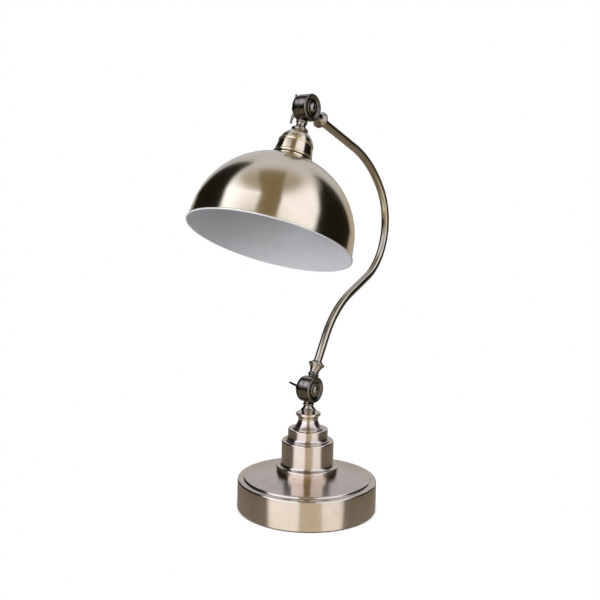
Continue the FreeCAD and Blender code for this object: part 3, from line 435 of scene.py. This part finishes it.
def spun(name, outline, placing=None, steps=ROUND_STEPS):
    """Turns a closed outline about Z, with the way round as U and the way along as V."""
    points = outline.rounded()
    count = len(points)
    along = [0.0]
    for i in range(count):
        a, b = points[i], points[(i + 1) % count]
        along.append(along[-1] + math.hypot(b[0] - a[0], b[1] - a[1]))
    verts, index = [], []
    for radius, height in points:
        if abs(radius) < 1e-6:
            index.append([len(verts)] * steps)
            verts.append((0.0, 0.0, height))
            continue
        index.append(list(range(len(verts), len(verts) + steps)))
        for k in range(steps):
            angle = 2 * math.pi * k / steps
            verts.append((radius * math.cos(angle), radius * math.sin(angle), height))
    faces, uvs = [], []
    for i in range(count):
        j = (i + 1) % count
        for k in range(steps):
            n = (k + 1) % steps
            corners = [(index[i][k], k, i), (index[i][n], k + 1, i),
                       (index[j][n], k + 1, i + 1), (index[j][k], k, i + 1)]
            seen, kept = set(), []
            for corner in corners:
                if corner[0] not in seen:
                    seen.add(corner[0])
                    kept.append(corner)
            if len(kept) > 2:
                faces.append([c[0] for c in kept])
                uvs += [(c[1] / steps, along[c[2]] / UV_LENGTH) for c in kept]
    if placing is not None:
        verts = [tuple(placing @ Vector(v)) for v in verts]
    return mesh_from(name, verts, faces, uvs)


def tidy_mesh(mesh, sharp=38.0, outward=True):
    """Merges doubles, turns faces outward, smooths all but the sharp edges, marks edges."""
    work = bmesh.new()
    work.from_mesh(mesh)
    bmesh.ops.remove_doubles(work, verts=work.verts, dist=MERGE_WITHIN)
    if outward:
        bmesh.ops.recalc_face_normals(work, faces=work.faces)
    mark = work.verts.layers.float.get("edge") or work.verts.layers.float.new("edge")
    work.normal_update()
    for vert in work.verts:
        bend = 0.0
        for edge in vert.link_edges:
            if len(edge.link_faces) == 2:
                angle = edge.calc_face_angle_signed(0.0)
                if abs(angle) > abs(bend):
                    bend = angle
        vert[mark] = max(-1.0, min(1.0, bend / math.radians(45)))
    for face in work.faces:
        face.smooth = True
    work.to_mesh(mesh)
    work.free()
    mesh.set_sharp_from_angle(angle=math.radians(sharp))
    return mesh


def at_joint(centre, degrees):
    """The placing of a piece drawn about a joint centre and turned about X."""
    return Matrix.Translation(centre) @ Matrix.Rotation(math.radians(degrees), 4, "X")


def across(centre):
    """The placing of a piece whose own Z axis lies along the joint's bolt."""
    return Matrix.Translation(centre) @ Matrix.Rotation(math.radians(90), 4, "Y")


def show(name, mesh, finish, body, slot_name, *nodes):
    """Puts a finished piece into the scene, on its body and in place of its CAD nodes."""
    piece = bpy.data.objects.new(name, mesh)
    bpy.context.scene.collection.objects.link(piece)
    if finish is not None:
        mesh.materials.clear()
        mesh.materials.append(finish)
    if nodes:
        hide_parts(*nodes)
    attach(piece, body)
    return piece


def dressed(node_name, sharp=30.0):
    """A merged, smoothed copy of a CAD node's mesh."""
    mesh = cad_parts[node_name].data.copy()
    mesh.name = node_name + "_smooth"
    return tidy_mesh(mesh, sharp, outward=False)


def flat_faces_kept(piece):
    """Keeps flat faces flat beside smoothed curves."""
    keep = piece.modifiers.new("flats", "WEIGHTED_NORMAL")
    keep.keep_sharp = True
    keep.weight = 80


# ---------------------------------------------------------------------------
# Repeated shapes by rule
# ---------------------------------------------------------------------------

def thread_tree():
    """A screw thread: a ridge that follows a helix about Z."""
    tree = bpy.data.node_groups.new("screw thread", "GeometryNodeTree")
    face = tree.interface
    for key, kind, default in (
        ("Radius", "NodeSocketFloat", 0.003), ("Turns", "NodeSocketFloat", 5.0),
        ("Height", "NodeSocketFloat", 0.005), ("Ridge", "NodeSocketFloat", 0.0003),
        ("Finish", "NodeSocketMaterial", None),
    ):
        socket = face.new_socket(key, in_out="INPUT", socket_type=kind)
        if default is not None:
            socket.default_value = default
    face.new_socket("Geometry", in_out="OUTPUT", socket_type="NodeSocketGeometry")
    given = node(tree, "NodeGroupInput").outputs
    wanted = node(tree, "NodeGroupOutput").inputs
    helix = node(tree, "GeometryNodeCurveSpiral")
    for key, value in (("Resolution", 40), ("Rotations", given["Turns"]), ("Start Radius", given["Radius"]),
                       ("End Radius", given["Radius"]), ("Height", given["Height"])):
        put(tree, helix.inputs[key], value)
    upright = node(tree, "GeometryNodeSetCurveNormal")
    upright.mode = "Z_UP"
    put(tree, upright.inputs["Curve"], helix.outputs[0])
    section = node(tree, "GeometryNodeCurvePrimitiveCircle")
    put(tree, section.inputs["Resolution"], 4)
    put(tree, section.inputs["Radius"], given["Ridge"])
    ridge = node(tree, "GeometryNodeCurveToMesh")
    put(tree, ridge.inputs["Curve"], upright.outputs[0])
    put(tree, ridge.inputs["Profile Curve"], section.outputs[0])
    put(tree, ridge.inputs["Fill Caps"], True)
    whole = node(tree, "GeometryNodeRealizeInstances", ridge.outputs[0])
    coated = node(tree, "GeometryNodeSetMaterial")
    put(tree, coated.inputs["Geometry"], whole.outputs[0])
    put(tree, coated.inputs["Material"], given["Finish"])
    put(tree, wanted["Geometry"], coated.outputs[0])
    return tree


def by_rule(name, tree, placing, **values):
    """The tree's result as a plain mesh in its place."""
    holder = bpy.data.objects.new(name + "_rule", bpy.data.meshes.new(name + "_rule"))
    bpy.context.scene.collection.objects.link(holder)
    modifier = holder.modifiers.new("rule", "NODES")
    modifier.node_group = tree
    ids = {item.name: item.identifier for item in tree.interface.items_tree
           if item.item_type == "SOCKET" and item.in_out == "INPUT"}
    for key, value in values.items():
        modifier[ids[key]] = value
    graph = bpy.context.evaluated_depsgraph_get()
    mesh = bpy.data.meshes.new_from_object(holder.evaluated_get(graph))
    holder.modifiers.clear()
    bpy.data.objects.remove(holder)
    mesh.name = name
    mesh.transform(placing)
    return mesh


def in_metres(placing):
    """A placing in millimetres as one in metres."""
    moved = placing.copy()
    moved.translation = placing.translation * MM
    return moved


# ---------------------------------------------------------------------------
# Finishes of this lamp
# ---------------------------------------------------------------------------

BRASS_LIGHT = (0.78, 0.64, 0.43)
BRASS_DEEP = (0.62, 0.49, 0.3)
BRASS_RUBBED = (0.9, 0.77, 0.55)
SATIN_LIGHT = (0.69, 0.575, 0.46)
SATIN_DEEP = (0.56, 0.46, 0.36)
BRONZE_LIGHT = (0.18, 0.15, 0.12)
BRONZE_DEEP = (0.06, 0.05, 0.035)
NECK_LIGHT = (0.44, 0.37, 0.28)
NECK_DEEP = (0.2, 0.15, 0.11)
HEAD = (UPPER_JOINT, HEAD_TURN)
SATIN = {"roughness": 0.2, "brushed": 0.96, "lacquer": 0.05}
BRONZE = {"roughness": 0.14, "polished_from": NECK_STARTS, "worn": 0.25}

base_brass = brass("antique_brass_base", SATIN_LIGHT, SATIN_DEEP, **SATIN)
pedestal_brass = brass("antique_brass_pedestal", SATIN_LIGHT, SATIN_DEEP, **SATIN)
cap_brass = brass("antique_brass_cap", BRASS_LIGHT, BRASS_DEEP, HEAD, roughness=0.17, brushed=0.7)
shade_brass = brass("antique_brass_shade", BRASS_LIGHT, BRASS_DEEP, HEAD, roughness=0.16,
                    brushed=0.7, marks=0.0000015, cloud=0.15)
lower_joint_brass = brass("bronzed_brass_lower", BRONZE_LIGHT, BRONZE_DEEP,
                          (LOWER_JOINT, 90.0, "Y"), **BRONZE)
upper_joint_brass = brass("bronzed_brass_upper", BRONZE_LIGHT, BRONZE_DEEP,
                          (UPPER_JOINT, 90.0, "Y"), **BRONZE)
tube_brass = brass("tube_brass", (0.52, 0.44, 0.31), (0.36, 0.29, 0.19), roughness=0.15, drawn=True,
                   marks=0.0, worn=0.2)
bolt_brass = brass("polished_bolt_brass", (0.3, 0.26, 0.2), (0.1, 0.08, 0.06), roughness=0.12,
                   worn=0.2)
neck_brass = brass("dark_brass_neck", (0.3, 0.24, 0.19), (0.13, 0.1, 0.07), HEAD, roughness=0.13,
                   worn=0.2)
white_enamel = enamel()
zinc = plated("zinc_plate", (0.62, 0.63, 0.64), (0.48, 0.49, 0.5), 0.32, 1400.0, 0.00001)
iron = plated("cast_iron_paint", (0.05, 0.05, 0.05), (0.09, 0.08, 0.07), 0.65, 500.0, 0.00012, 0.0)
foam = plated("black_foam", (0.03, 0.03, 0.03), (0.05, 0.05, 0.05), 0.9, 900.0, 0.0002, 0.0)
plastic = plated("black_moulded_plastic", (0.025, 0.024, 0.023), (0.035, 0.034, 0.032), 0.42, 1500.0,
                 0.00002, 0.0)
fibre = plated("dark_brown_fibre", (0.075, 0.055, 0.04), (0.05, 0.035, 0.025), 0.75, 1200.0, 0.00006, 0.0)
socket_brass = plated("stamped_socket_brass", (0.8, 0.64, 0.34), (0.7, 0.53, 0.26), 0.28, 1100.0, 0.000008)
sleeve = plated("lead_sleeve", (0.5, 0.46, 0.38), (0.4, 0.36, 0.3), 0.5, 1600.0, 0.00003, 0.0)


# ---------------------------------------------------------------------------
# Base and pedestal
# ---------------------------------------------------------------------------

def base_cover():
    """Spun cover: straight side, narrow ledge, low riser, coned plateau, and the rear outlet."""
    outline = Outline(BASE_RADIUS, 1.2, 0.3).line(BASE_RADIUS, 32.6)
    outline.arc(78.1, 34.6, 2.0, 1).line(73.8, 34.6).arc(72.9, 35.5, 0.9, -1)
    outline.arc(71, 36.9, 1.9, 1).line(35.7, 43).line(5.4, 43).line(5.4, 41.8).line(35.7, 41.8)
    outline.line(69.8, 35.7).line(71.7, 33.4).line(77.6, 33.4).line(78.8, 31.4).line(78.8, 1.2)
    mesh = spun("base_cover", outline, steps=LARGE_STEPS)
    piece = show("base_cover_spun", mesh, base_brass, "base", "antique_brass", "base_cover")
    bore = Outline(0, 70).line(5, 70).line(5, 90).line(0, 90)
    drill = bpy.data.objects.new("drill", spun("drill", bore, rearward(0), 48))
    bpy.context.scene.collection.objects.link(drill)
    work = bmesh.new()
    for target in (mesh, drill.data):
        work.from_mesh(target)
        bmesh.ops.remove_doubles(work, verts=work.verts, dist=MERGE_WITHIN)
        bmesh.ops.recalc_face_normals(work, faces=work.faces)
        work.to_mesh(target)
        work.clear()
    work.free()
    cut = piece.modifiers.new("outlet", "BOOLEAN")
    cut.operation, cut.solver, cut.object = "DIFFERENCE", "EXACT", drill
    graph = bpy.context.evaluated_depsgraph_get()
    holed = bpy.data.meshes.new_from_object(piece.evaluated_get(graph))
    piece.modifiers.clear()
    piece.data = tidy_mesh(holed)
    bpy.data.objects.remove(drill)


def rearward(distance):
    """The placing of a piece whose own Z axis runs out through the base's rear outlet."""
    return (Matrix.Translation((0, distance, OUTLET_HEIGHT))
            @ Matrix.Rotation(math.radians(-90), 4, "X"))


def turned_piece(name, outline, finish, body, slot_name, node_name, placing=None,
                 steps=ROUND_STEPS, sharp=38.0):
    """A lathe-turned piece, drawn as an outline and put in place of its CAD node."""
    mesh = tidy_mesh(spun(name, outline, placing, steps), sharp)
    return show(name, mesh, finish, body, slot_name, node_name)


def pedestal():
    """Three turned pieces stacked on the rod: drum, tier and bell."""
    drum = Outline(35.7, 43, 0.3).line(35.7, 49).arc(34.3, 50.4, 1.4, 1).line(33.2, 50.4, 0.25)
    drum.arc(29.8, 54, 3.6, -1).line(29.8, 77.8).arc(28.2, 79.4, 1.6, 1)
    drum.line(5.2, 79.4).line(5.2, 77.8).line(26.6, 77.8).line(26.6, 43)
    turned_piece("pedestal_drum_turned", drum, pedestal_brass, "base", "antique_brass", "pedestal_drum")
    tier = Outline(25.6, 79.4, 0.2).line(25.6, 80.4, 0.25).arc(22.8, 84, 4.6, -1).line(22.8, 91.8)
    tier.arc(21.6, 93, 1.2, 1).line(5.2, 93).line(5.2, 91.4).line(19.6, 91.4).line(19.6, 79.4)
    turned_piece("pedestal_tier_turned", tier, pedestal_brass, "base", "antique_brass", "pedestal_tier")
    bell = Outline(5.2, 93).line(17.6, 93, 0.2).line(17.6, 94, 0.25).arc(11.5, 102.6, 11.5, -1)
    bell.line(10.9, 103.1, 0.15).line(11.5, 103.6).arc(13.2, 108, 5, -1)
    bell.line(14.2, 109, 0.3).line(14.2, 110.6).arc(13.2, 111.6, 1, 1).line(5.2, 111.6)
    turned_piece("pedestal_bell_turned", bell, pedestal_brass, "base", "antique_brass", "pedestal_bell")


def rod_and_outlet():
    """The hollow rod with its thread, and the bushing in the rear outlet."""
    rod = Outline(3.2, 17.5, 0.2).line(4.7, 17.5, 0.3).line(4.7, 117.3, 0.3).line(3.2, 117.3, 0.2)
    turned_piece("rod_shank", rod, zinc, "base", "zinc_steel", "threaded_rod", steps=64)
    mesh = by_rule("rod_thread", THREAD, in_metres(Matrix.Translation((0, 0, 18.2))),
                   Radius=0.00468, Turns=98.0, Height=0.098, Ridge=0.00032, Finish=zinc)
    show("rod_thread", tidy_mesh(mesh), None, "base", "zinc_steel")
    bushing = Outline(3.2, -4.4, 0.3).line(5.9, -4.4, 0.6).line(5.9, -1.7, 0.1).line(4.9, -1.7)
    bushing.line(4.9, 0)
    bushing.line(6.6, 0, 0.2).line(6.6, 1.2).arc(5.8, 2, 0.8, 1).line(3.2, 2, 0.6)
    turned_piece("cord_bushing_moulded", bushing, plastic, "base", "black_plastic", "cord_bushing",
                 rearward(BASE_RADIUS), 96)


# ---------------------------------------------------------------------------
# Joints
# ---------------------------------------------------------------------------

def joint(prefix, centre, wing_turn, finish, castings):
    """The two castings of a joint with its bolt, washers and wing nut."""
    for node_name, body in castings:
        piece = show(node_name + "_cast", dressed(node_name), finish, body, "joint_brass", node_name)
        flat_faces_kept(piece)
    placing = across(centre)
    bolt = Outline(0, -17.4).line(2.4, -17.4, 0.15).line(2.75, -16.9, 0.1).line(2.75, 9.3)
    bolt.line(5.1, 9.3, 0.15).line(5.1, 10.0, 0.3).dome(0, 12.3, 1)
    turned_piece(prefix + "_bolt_turned", bolt, bolt_brass, "arm", "bolt_brass", prefix + "_bolt",
                 placing, 96)
    mesh = by_rule(prefix + "_bolt_thread", THREAD,
                   in_metres(placing @ Matrix.Translation((0, 0, -17.0))),
                   Radius=0.00272, Turns=9.0, Height=0.009, Ridge=0.00034, Finish=bolt_brass)
    show(prefix + "_bolt_thread", tidy_mesh(mesh), None, "arm", "bolt_brass")
    washer = Outline(3.2, 8.2).line(8, 8.2, 0.1).line(8, 8.9, 0.2).line(7.6, 9.3, 0.2).line(3.2, 9.3)
    turned_piece(prefix + "_face_washer_turned", washer, bolt_brass, "arm", "bolt_brass",
                 prefix + "_face_washer", placing, 96)
    wing_nut(prefix, centre, wing_turn)


def leaf_points():
    """One wing's outline as (radius, height) along the bolt, from the root and back."""
    leaf = Outline(4.0, -11.6).line(6.0, -11.6).arc(17, -16.1, 16, 1).arc(16.1, -17.4, 0.9, -1)
    return leaf.arc(4.0, -15.6, 19, -1).points


def wing_nut(prefix, centre, turn):
    """A coned hub with two leaf-shaped wings, rounded all along their edges."""
    hub = Outline(3.05, -11.2, 0.2).line(5.2, -11.2, 0.2).line(5.6, -11.6, 0.2).line(5.6, -12.6, 0.5)
    hub.line(4.3, -15.8, 0.4).line(3.05, -15.8, 0.2)
    mesh = spun(prefix + "_wing_nut", hub, across(centre), 96)
    work = bmesh.new()
    work.from_mesh(mesh)
    spin = Matrix.Translation(centre * MM) @ Matrix.Rotation(math.radians(turn), 4, "X")
    points = leaf_points()
    for side in (1, -1):
        sheets = []
        for half in (1.0, -1.0):
            sheets.append([work.verts.new(spin @ (Vector((s, half * side, r * side)) * MM))
                           for r, s in points])
        count = len(points)
        work.faces.new(sheets[0])
        work.faces.new(list(reversed(sheets[1])))
        for i in range(count):
            j = (i + 1) % count
            work.faces.new((sheets[0][j], sheets[0][i], sheets[1][i], sheets[1][j]))
    work.to_mesh(mesh)
    work.free()
    mesh = tidy_mesh(mesh, 40.0)
    piece = show(prefix + "_wing_nut_cast", mesh, bolt_brass, prefix + "_wing_nut", "bolt_brass",
                 prefix + "_wing_nut")
    soften = piece.modifiers.new("edges", "BEVEL")
    soften.width, soften.segments, soften.limit_method = 0.6 * MM, 3, "ANGLE"
    soften.angle_limit = math.radians(50)


# ---------------------------------------------------------------------------
# Arm
# ---------------------------------------------------------------------------

def heading(degrees):
    """The direction in the arm's plane that leans so far from upright."""
    lean = math.radians(degrees)
    return Vector((0, math.sin(lean), math.cos(lean)))


def arm_route(skip):
    """Points and directions along the arm's straight runs and bends."""
    headings, runs, bends = (28.2, 64.1, -37, -70.2), (65, 40.2, 0, 103.1), (109.1, 73.4, 135.5)
    here, route = LOWER_JOINT.copy(), []
    for i, run in enumerate(runs):
        way = heading(headings[i])
        if run:
            low = here + way * (skip if i == 0 else 0)
            high = here + way * (run - (skip if i == len(runs) - 1 else 0))
            for k in range(9):
                route.append((low.lerp(high, k / 8), headings[i]))
        here = here + way * run
        if i < len(bends):
            side = 1 if headings[i + 1] > headings[i] else -1
            centre = here + heading(headings[i] + 90 * side) * bends[i]
            steps = max(8, int(abs(headings[i + 1] - headings[i]) / 1.5))
            for k in range(1, steps):
                turn = headings[i] + (headings[i + 1] - headings[i]) * k / steps
                route.append((centre + heading(turn - 90 * side) * bends[i], turn))
            here = centre + heading(headings[i + 1] - 90 * side) * bends[i]
    return route


def swept_tube(name, route, radius, bore, steps=64):
    """A round tube along a route in the arm's plane, open or solid inside."""
    walls = (radius, bore) if bore else (radius,)
    verts, faces, uvs, rings = [], [], [], []
    for reach in walls:
        ring = []
        for point, turn in route:
            side = heading(turn + 90)
            ring.append(len(verts))
            for k in range(steps):
                angle = 2 * math.pi * k / steps
                outward = Vector((1, 0, 0)) * reach * math.cos(angle)
                verts.append(point + outward + side * reach * math.sin(angle))
        rings.append(ring)
    length = [0.0]
    for (a, _), (b, _) in zip(route, route[1:]):
        length.append(length[-1] + (b - a).length)
    for ring in rings:
        for i in range(len(ring) - 1):
            low, high = length[i] / UV_LENGTH, length[i + 1] / UV_LENGTH
            for k in range(steps):
                n = (k + 1) % steps
                faces.append((ring[i] + k, ring[i] + n, ring[i + 1] + n, ring[i + 1] + k))
                uvs += [(k / steps, low), ((k + 1) / steps, low),
                        ((k + 1) / steps, high), (k / steps, high)]
    for end in (0, -1):
        if bore:
            for k in range(steps):
                n = (k + 1) % steps
                outer, inner = rings[0][end], rings[1][end]
                faces.append((outer + k, outer + n, inner + n, inner + k))
                uvs += [(0, 0), (0, 0.01), (0.01, 0.01), (0.01, 0)]
        else:
            faces.append([rings[0][end] + k for k in range(steps)])
            uvs += [(0, 0)] * steps
    return tidy_mesh(mesh_from(name, verts, faces, uvs))


def arm():
    """The bent tube and the lead that runs through it."""
    show("arm_tube_bent", swept_tube("arm_tube_bent", arm_route(24.3), 4.75, 3.75), tube_brass, "arm",
         "tube_brass", "arm_tube")
    show("arm_lead_sleeved", swept_tube("arm_lead_sleeved", arm_route(16), 2.0, 0, 24), sleeve, "arm",
         "lead_sleeve", "arm_lead")


# ---------------------------------------------------------------------------
# Head
# ---------------------------------------------------------------------------

def sphere_height(reach, inset):
    """The height of the dome's sphere at a distance from its axis, with the wall's inset."""
    return SHADE_CENTRE - math.sqrt((SHADE_RADIUS - inset) ** 2 - reach ** 2)


def sphere_reach(height, inset):
    return math.sqrt((SHADE_RADIUS - inset) ** 2 - (SHADE_CENTRE - height) ** 2)


def shade():
    """Spun dome with a raised crown, a flared skirt and a beaded rim: brass out, enamel in."""
    outline = Outline(16.6, 59.1, 0.2).line(19.3, 59.1).arc(20.2, 60, 0.9, 1)
    outline.line(20.5, sphere_height(20.5, 0), 0.3)
    outline.arc(sphere_reach(SKIRT_START, 0), SKIRT_START, SHADE_RADIUS, 1).line(88.47, 153.9, 0.8)
    outline.arc(89.9, 155, 1.1, 1)
    outside = len(outline.rounded())
    outline.arc(88.8, 156.1, 1.1, 1)
    outline.arc(87.7, 155, 1.1, 1).line(sphere_reach(SKIRT_START, SHADE_WALL), SKIRT_START)
    outline.arc(19.2, sphere_height(19.2, SHADE_WALL), SHADE_RADIUS - SHADE_WALL, -1)
    outline.line(19.2, 60.1, 0.2).line(16.6, 60.1)
    mesh = spun("shade", outline, at_joint(*HEAD), LARGE_STEPS)
    mesh.materials.append(shade_brass)
    mesh.materials.append(white_enamel)
    enamelled = range(outside - 1, len(outline.rounded()) - 2)
    for face in mesh.polygons:
        face.material_index = int(face.index // LARGE_STEPS in enamelled)
    show("shade_spun", tidy_mesh(mesh), None, "head", "shade_brass", "shade")


def head():
    """The neck ring, the socket cap, the shade and the lampholder inside it."""
    placing = at_joint(*HEAD)
    ring = Outline(4.05, 23.8).line(6.8, 23.8, 0.2).line(7.4, 24.4, 0.3).line(7.4, 25.2, 0.3)
    ring.line(8.7, 25.2, 0.2).arc(8.7, 28.6, 2.6, 1).line(4.05, 28.6)
    turned_piece("neck_ring_turned", ring, neck_brass, "head", "cap_brass", "neck_ring", placing, 128)
    cap = Outline(4.2, 28.6).line(7.9, 28.6, 0.3).dome(19, 41.6, 1).line(18.7, 41.9, 0.2)
    cap.arc(18.7, 44.7, 1.6, 1).line(19.3, 45, 0.2).line(20.9, 55.6).arc(21.9, 57.1, 1.7, -1)
    cap.arc(21.6, 58.6, 1.5, 1).line(20.7, 58.9, 0.2).line(19.9, 56.6).line(17.7, 44.7).line(17.7, 42.6)
    cap.dome(7.9, 29.6, -1).line(4.2, 29.6)
    turned_piece("socket_cap_spun", cap, cap_brass, "head", "cap_brass", "socket_cap", placing, 192)
    shade()
    holder = Outline(0, 45.5).line(2.5, 45.5).line(2.5, 41.3).line(4.05, 41.3).line(4.05, 37.5)
    holder.line(13, 37.5, 0.5).line(15.4, 39.9, 0.8).line(15.4, 56.4).line(18.6, 56.4, 0.3)
    holder.line(18.6, 59.1, 0.3).line(16.3, 59.1).line(16.3, 87.2, 0.4).line(15.5, 88, 0.4)
    holder.line(13.75, 88, 0.4).line(13.75, 57).line(0, 57)
    turned_piece("lampholder_moulded", holder, plastic, "head", "black_plastic", "lampholder_body",
                 placing, 128)
    ring = Outline(16.4, 60.1).line(18.8, 60.1).line(18.8, 65.5).line(21.5, 65.5, 0.2)
    ring.line(21.5, 67, 0.4).line(21, 67.5, 0.3).line(16.4, 67.5, 0.3)
    turned_piece("shade_ring_moulded", ring, plastic, "head", "black_plastic", "shade_ring", placing, 128)
    shell = screw_shell_outline()
    turned_piece("screw_shell_rolled", shell, socket_brass, "head", "socket_brass", "screw_shell",
                 placing, 96, 60)


def screw_shell_outline():
    """The socket's brass liner, rolled into rings between its two plain ends."""
    outer, inner = [], []
    steps, plain, rings, depth = 120, 6, 6, 0.085
    for i in range(steps + 1):
        height = 60 + 22 * i / steps
        along = (i - plain) / (steps - 2 * plain)
        wave = depth * math.sin(2 * math.pi * along * rings) if 0 < along < 1 else 0.0
        outer.append((13.55 + wave, height))
        inner.append((13.35 + wave, height))
    outline = Outline(*outer[0])
    for point in outer[1:] + inner[::-1]:
        outline.line(*point)
    return outline


# ---------------------------------------------------------------------------
# Light and floor
# ---------------------------------------------------------------------------

def studio_world():
    """A plain studio: white backdrop behind, two large soft boxes in front, dark gaps at the sides.

    Angles are in degrees: rise above the floor, bearing to the right of the camera's own side.
    """
    world = bpy.data.worlds.new("studio")
    bpy.context.scene.world = world
    world.use_nodes = True
    tree = world.node_tree
    tree.nodes.clear()
    turn = math.radians(CAMERA_TURN)
    way = node(tree, "ShaderNodeTexCoord").outputs["Generated"]
    ahead = dot(tree, way, (math.sin(turn), -math.cos(turn), 0))
    aside = dot(tree, way, (math.cos(turn), math.sin(turn), 0))
    height = dot(tree, way, (0, 0, 1))
    rise = maths(tree, "MULTIPLY", maths(tree, "ARCSINE", height), 180 / math.pi)
    bearing = maths(tree, "MULTIPLY", maths(tree, "ARCTAN2", aside, ahead), 180 / math.pi)
    local = node(tree, "ShaderNodeCombineXYZ", aside, ahead, height).outputs[0]
    backdrop = mixed(tree, ramp(tree, rise, 5, 25), rgb(0.48, 0.45, 0.42), rgb(0.6, 0.64, 0.76))
    backdrop = mixed(tree, ramp(tree, rise, 35, 60), backdrop, rgb(0.66, 0.72, 0.92))
    front = ramp(tree, ahead, -0.4, 0.1)
    left_box = mixed(tree, ramp(tree, rise, -12, 8), rgb(1.2, 1.22, 1.25), rgb(1.55, 1.74, 2.35))
    right_box = mixed(tree, ramp(tree, rise, -12, 8), rgb(1.12, 1.14, 1.17), rgb(1.2, 1.33, 1.75))
    boxes = mixed(tree, ramp(tree, aside, -0.1, 0.1), left_box, right_box)
    boxes = mixed(tree, ramp(tree, rise, 48, 66), boxes, rgb(0.42, 0.41, 0.4))
    light = mixed(tree, front, backdrop, boxes)
    shifted = maths(tree, "ADD", aside, ramp(tree, rise, -5, 15, -0.03, 0.045))
    narrowed = maths(tree, "MULTIPLY", shifted, ramp(tree, rise, -5, 15, 0.75, 1.0))
    gap = between(tree, narrowed, -0.165, 0.27, 0.025)
    gap = maths(tree, "MULTIPLY", gap, ramp(tree, ahead, -0.25, 0.0))
    dim = mixed(tree, ramp(tree, rise, 28, 46), rgb(0.5, 0.45, 0.32), rgb(0.23, 0.2, 0.13))
    dim = mixed(tree, ramp(tree, rise, -2, -12), dim, rgb(0.74, 0.7, 0.6))
    light = mixed(tree, gap, light, dim)
    left = ramp(tree, dot(tree, local, (-0.435, -0.756, -0.49)), -0.03, 0.07)
    low = ramp(tree, rise, -4, -12)
    spread = maths(tree, "MULTIPLY_ADD", low, 26, bearing)
    left = maths(tree, "MULTIPLY", left, between(tree, spread, -154, -40, 3))
    right = ramp(tree, dot(tree, local, (0.475, -0.685, -0.555)), -0.05, 0.09)
    spread = maths(tree, "MULTIPLY_ADD", low, -22, bearing)
    right = maths(tree, "MULTIPLY", right, between(tree, spread, 40, 138, 4))
    right = maths(tree, "MULTIPLY", right, ramp(tree, rise, 38, 52, 1.0, 0.0))
    dark = maths(tree, "ADD", left, right, clamp=True)
    dark_tone = mixed(tree, ramp(tree, rise, 0, -16), rgb(0.012, 0.011, 0.009), rgb(0.25, 0.23, 0.2))
    light = mixed(tree, dark, light, dark_tone)
    light = mixed(tree, ramp(tree, rise, -30, -70), light, rgb(0.3, 0.27, 0.25))
    rays = node(tree, "ShaderNodeLightPath").outputs
    light = mixed(tree, rays["Is Diffuse Ray"], light, rgb(0.9, 0.9, 0.9))
    light = mixed(tree, rays["Is Camera Ray"], light, rgb(1.0, 1.0, 1.0))
    background = node(tree, "ShaderNodeBackground", light, 1.0)
    node(tree, "ShaderNodeOutputWorld", background.outputs[0])


def dot(tree, vector, way):
    """How far a direction points the given way."""
    return node(tree, "ShaderNodeVectorMath", vector, way, operation="DOT_PRODUCT").outputs["Value"]


def soft_light(name, energy, size, place, aim):
    """A large soft light that doesn't show in the brass."""
    data = bpy.data.lights.new(name, "AREA")
    data.energy, data.size = energy, size
    lamp = bpy.data.objects.new(name, data)
    lamp.location = place
    lamp.rotation_mode = "QUATERNION"
    lamp.rotation_quaternion = (Vector(aim) - Vector(place)).to_track_quat("-Z", "Y")
    lamp.visible_camera = False
    lamp.visible_glossy = False
    bpy.context.scene.collection.objects.link(lamp)


def pale_floor():
    """A wide white floor that runs out into the white backdrop."""
    mesh = bpy.data.meshes.new("floor")
    steps, radius, level = 96, 9, -0.0002
    angles = [2 * math.pi * k / steps for k in range(steps)]
    verts = [(radius * math.cos(a), radius * math.sin(a), level) for a in angles]
    mesh.from_pydata(verts, [], [list(range(steps))])
    floor = bpy.data.objects.new("floor", mesh)
    bpy.context.scene.collection.objects.link(floor)
    material, tree, shader = new_finish("white_floor")
    place = own_place(tree)
    far = node(tree, "ShaderNodeVectorMath", place, operation="LENGTH").outputs["Value"]
    fade = ramp(tree, far, 0.07, 0.2)
    shader.inputs["Base Color"].default_value = rgb(0.97, 0.97, 0.97)
    shader.inputs["Roughness"].default_value = 0.9
    shader.inputs["Specular IOR Level"].default_value = 0.0
    seen = node(tree, "ShaderNodeLightPath").outputs["Is Camera Ray"]
    glow = node(tree, "ShaderNodeEmission", rgb(1, 1, 1), maths(tree, "MULTIPLY_ADD", seen, 0.7, 0.3))
    blend = node(tree, "ShaderNodeMixShader", fade, shader.outputs[0], glow.outputs[0])
    put(tree, tree.nodes["Material Output"].inputs["Surface"], blend.outputs[0])
    mesh.materials.append(material)
    floor.visible_glossy = False


# ---------------------------------------------------------------------------
# The lamp
# ---------------------------------------------------------------------------

set_camera()
bpy.context.scene.view_settings.view_transform = "Standard"
studio_world()
soft_light("overhead", 24.0, 1.6, (0.2, -0.3, 1.7), (0, 0, 0))
soft_light("front", 6.0, 0.8, (-0.25, -1.2, 0.3), (0, -0.08, 0.33))
pale_floor()

THREAD = thread_tree()
base_cover()
pedestal()
rod_and_outlet()
joint("lower", LOWER_JOINT, 62.0, lower_joint_brass,
      (("base_knuckle", "base"), ("arm_lower_knuckle", "arm")))
joint("upper", UPPER_JOINT, -16.0, upper_joint_brass,
      (("head_knuckle", "head"), ("arm_upper_knuckle", "arm")))
arm()
head()

CARRIED = {
    iron: ("base_weight",),
    foam: ("base_pad",),
    zinc: ("rod_washer", "rod_nut", "lower_spring_washer", "upper_spring_washer", "head_nipple",
           "nipple_nut"),
    fibre: ("lower_friction_washer", "upper_friction_washer"),
    socket_brass: ("centre_contact",),
    sleeve: ("base_lead", "head_lead"),
}
for finish, names in CARRIED.items():
    for name in names:
        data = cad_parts[name].data
        data.materials.clear()
        data.materials.append(finish)
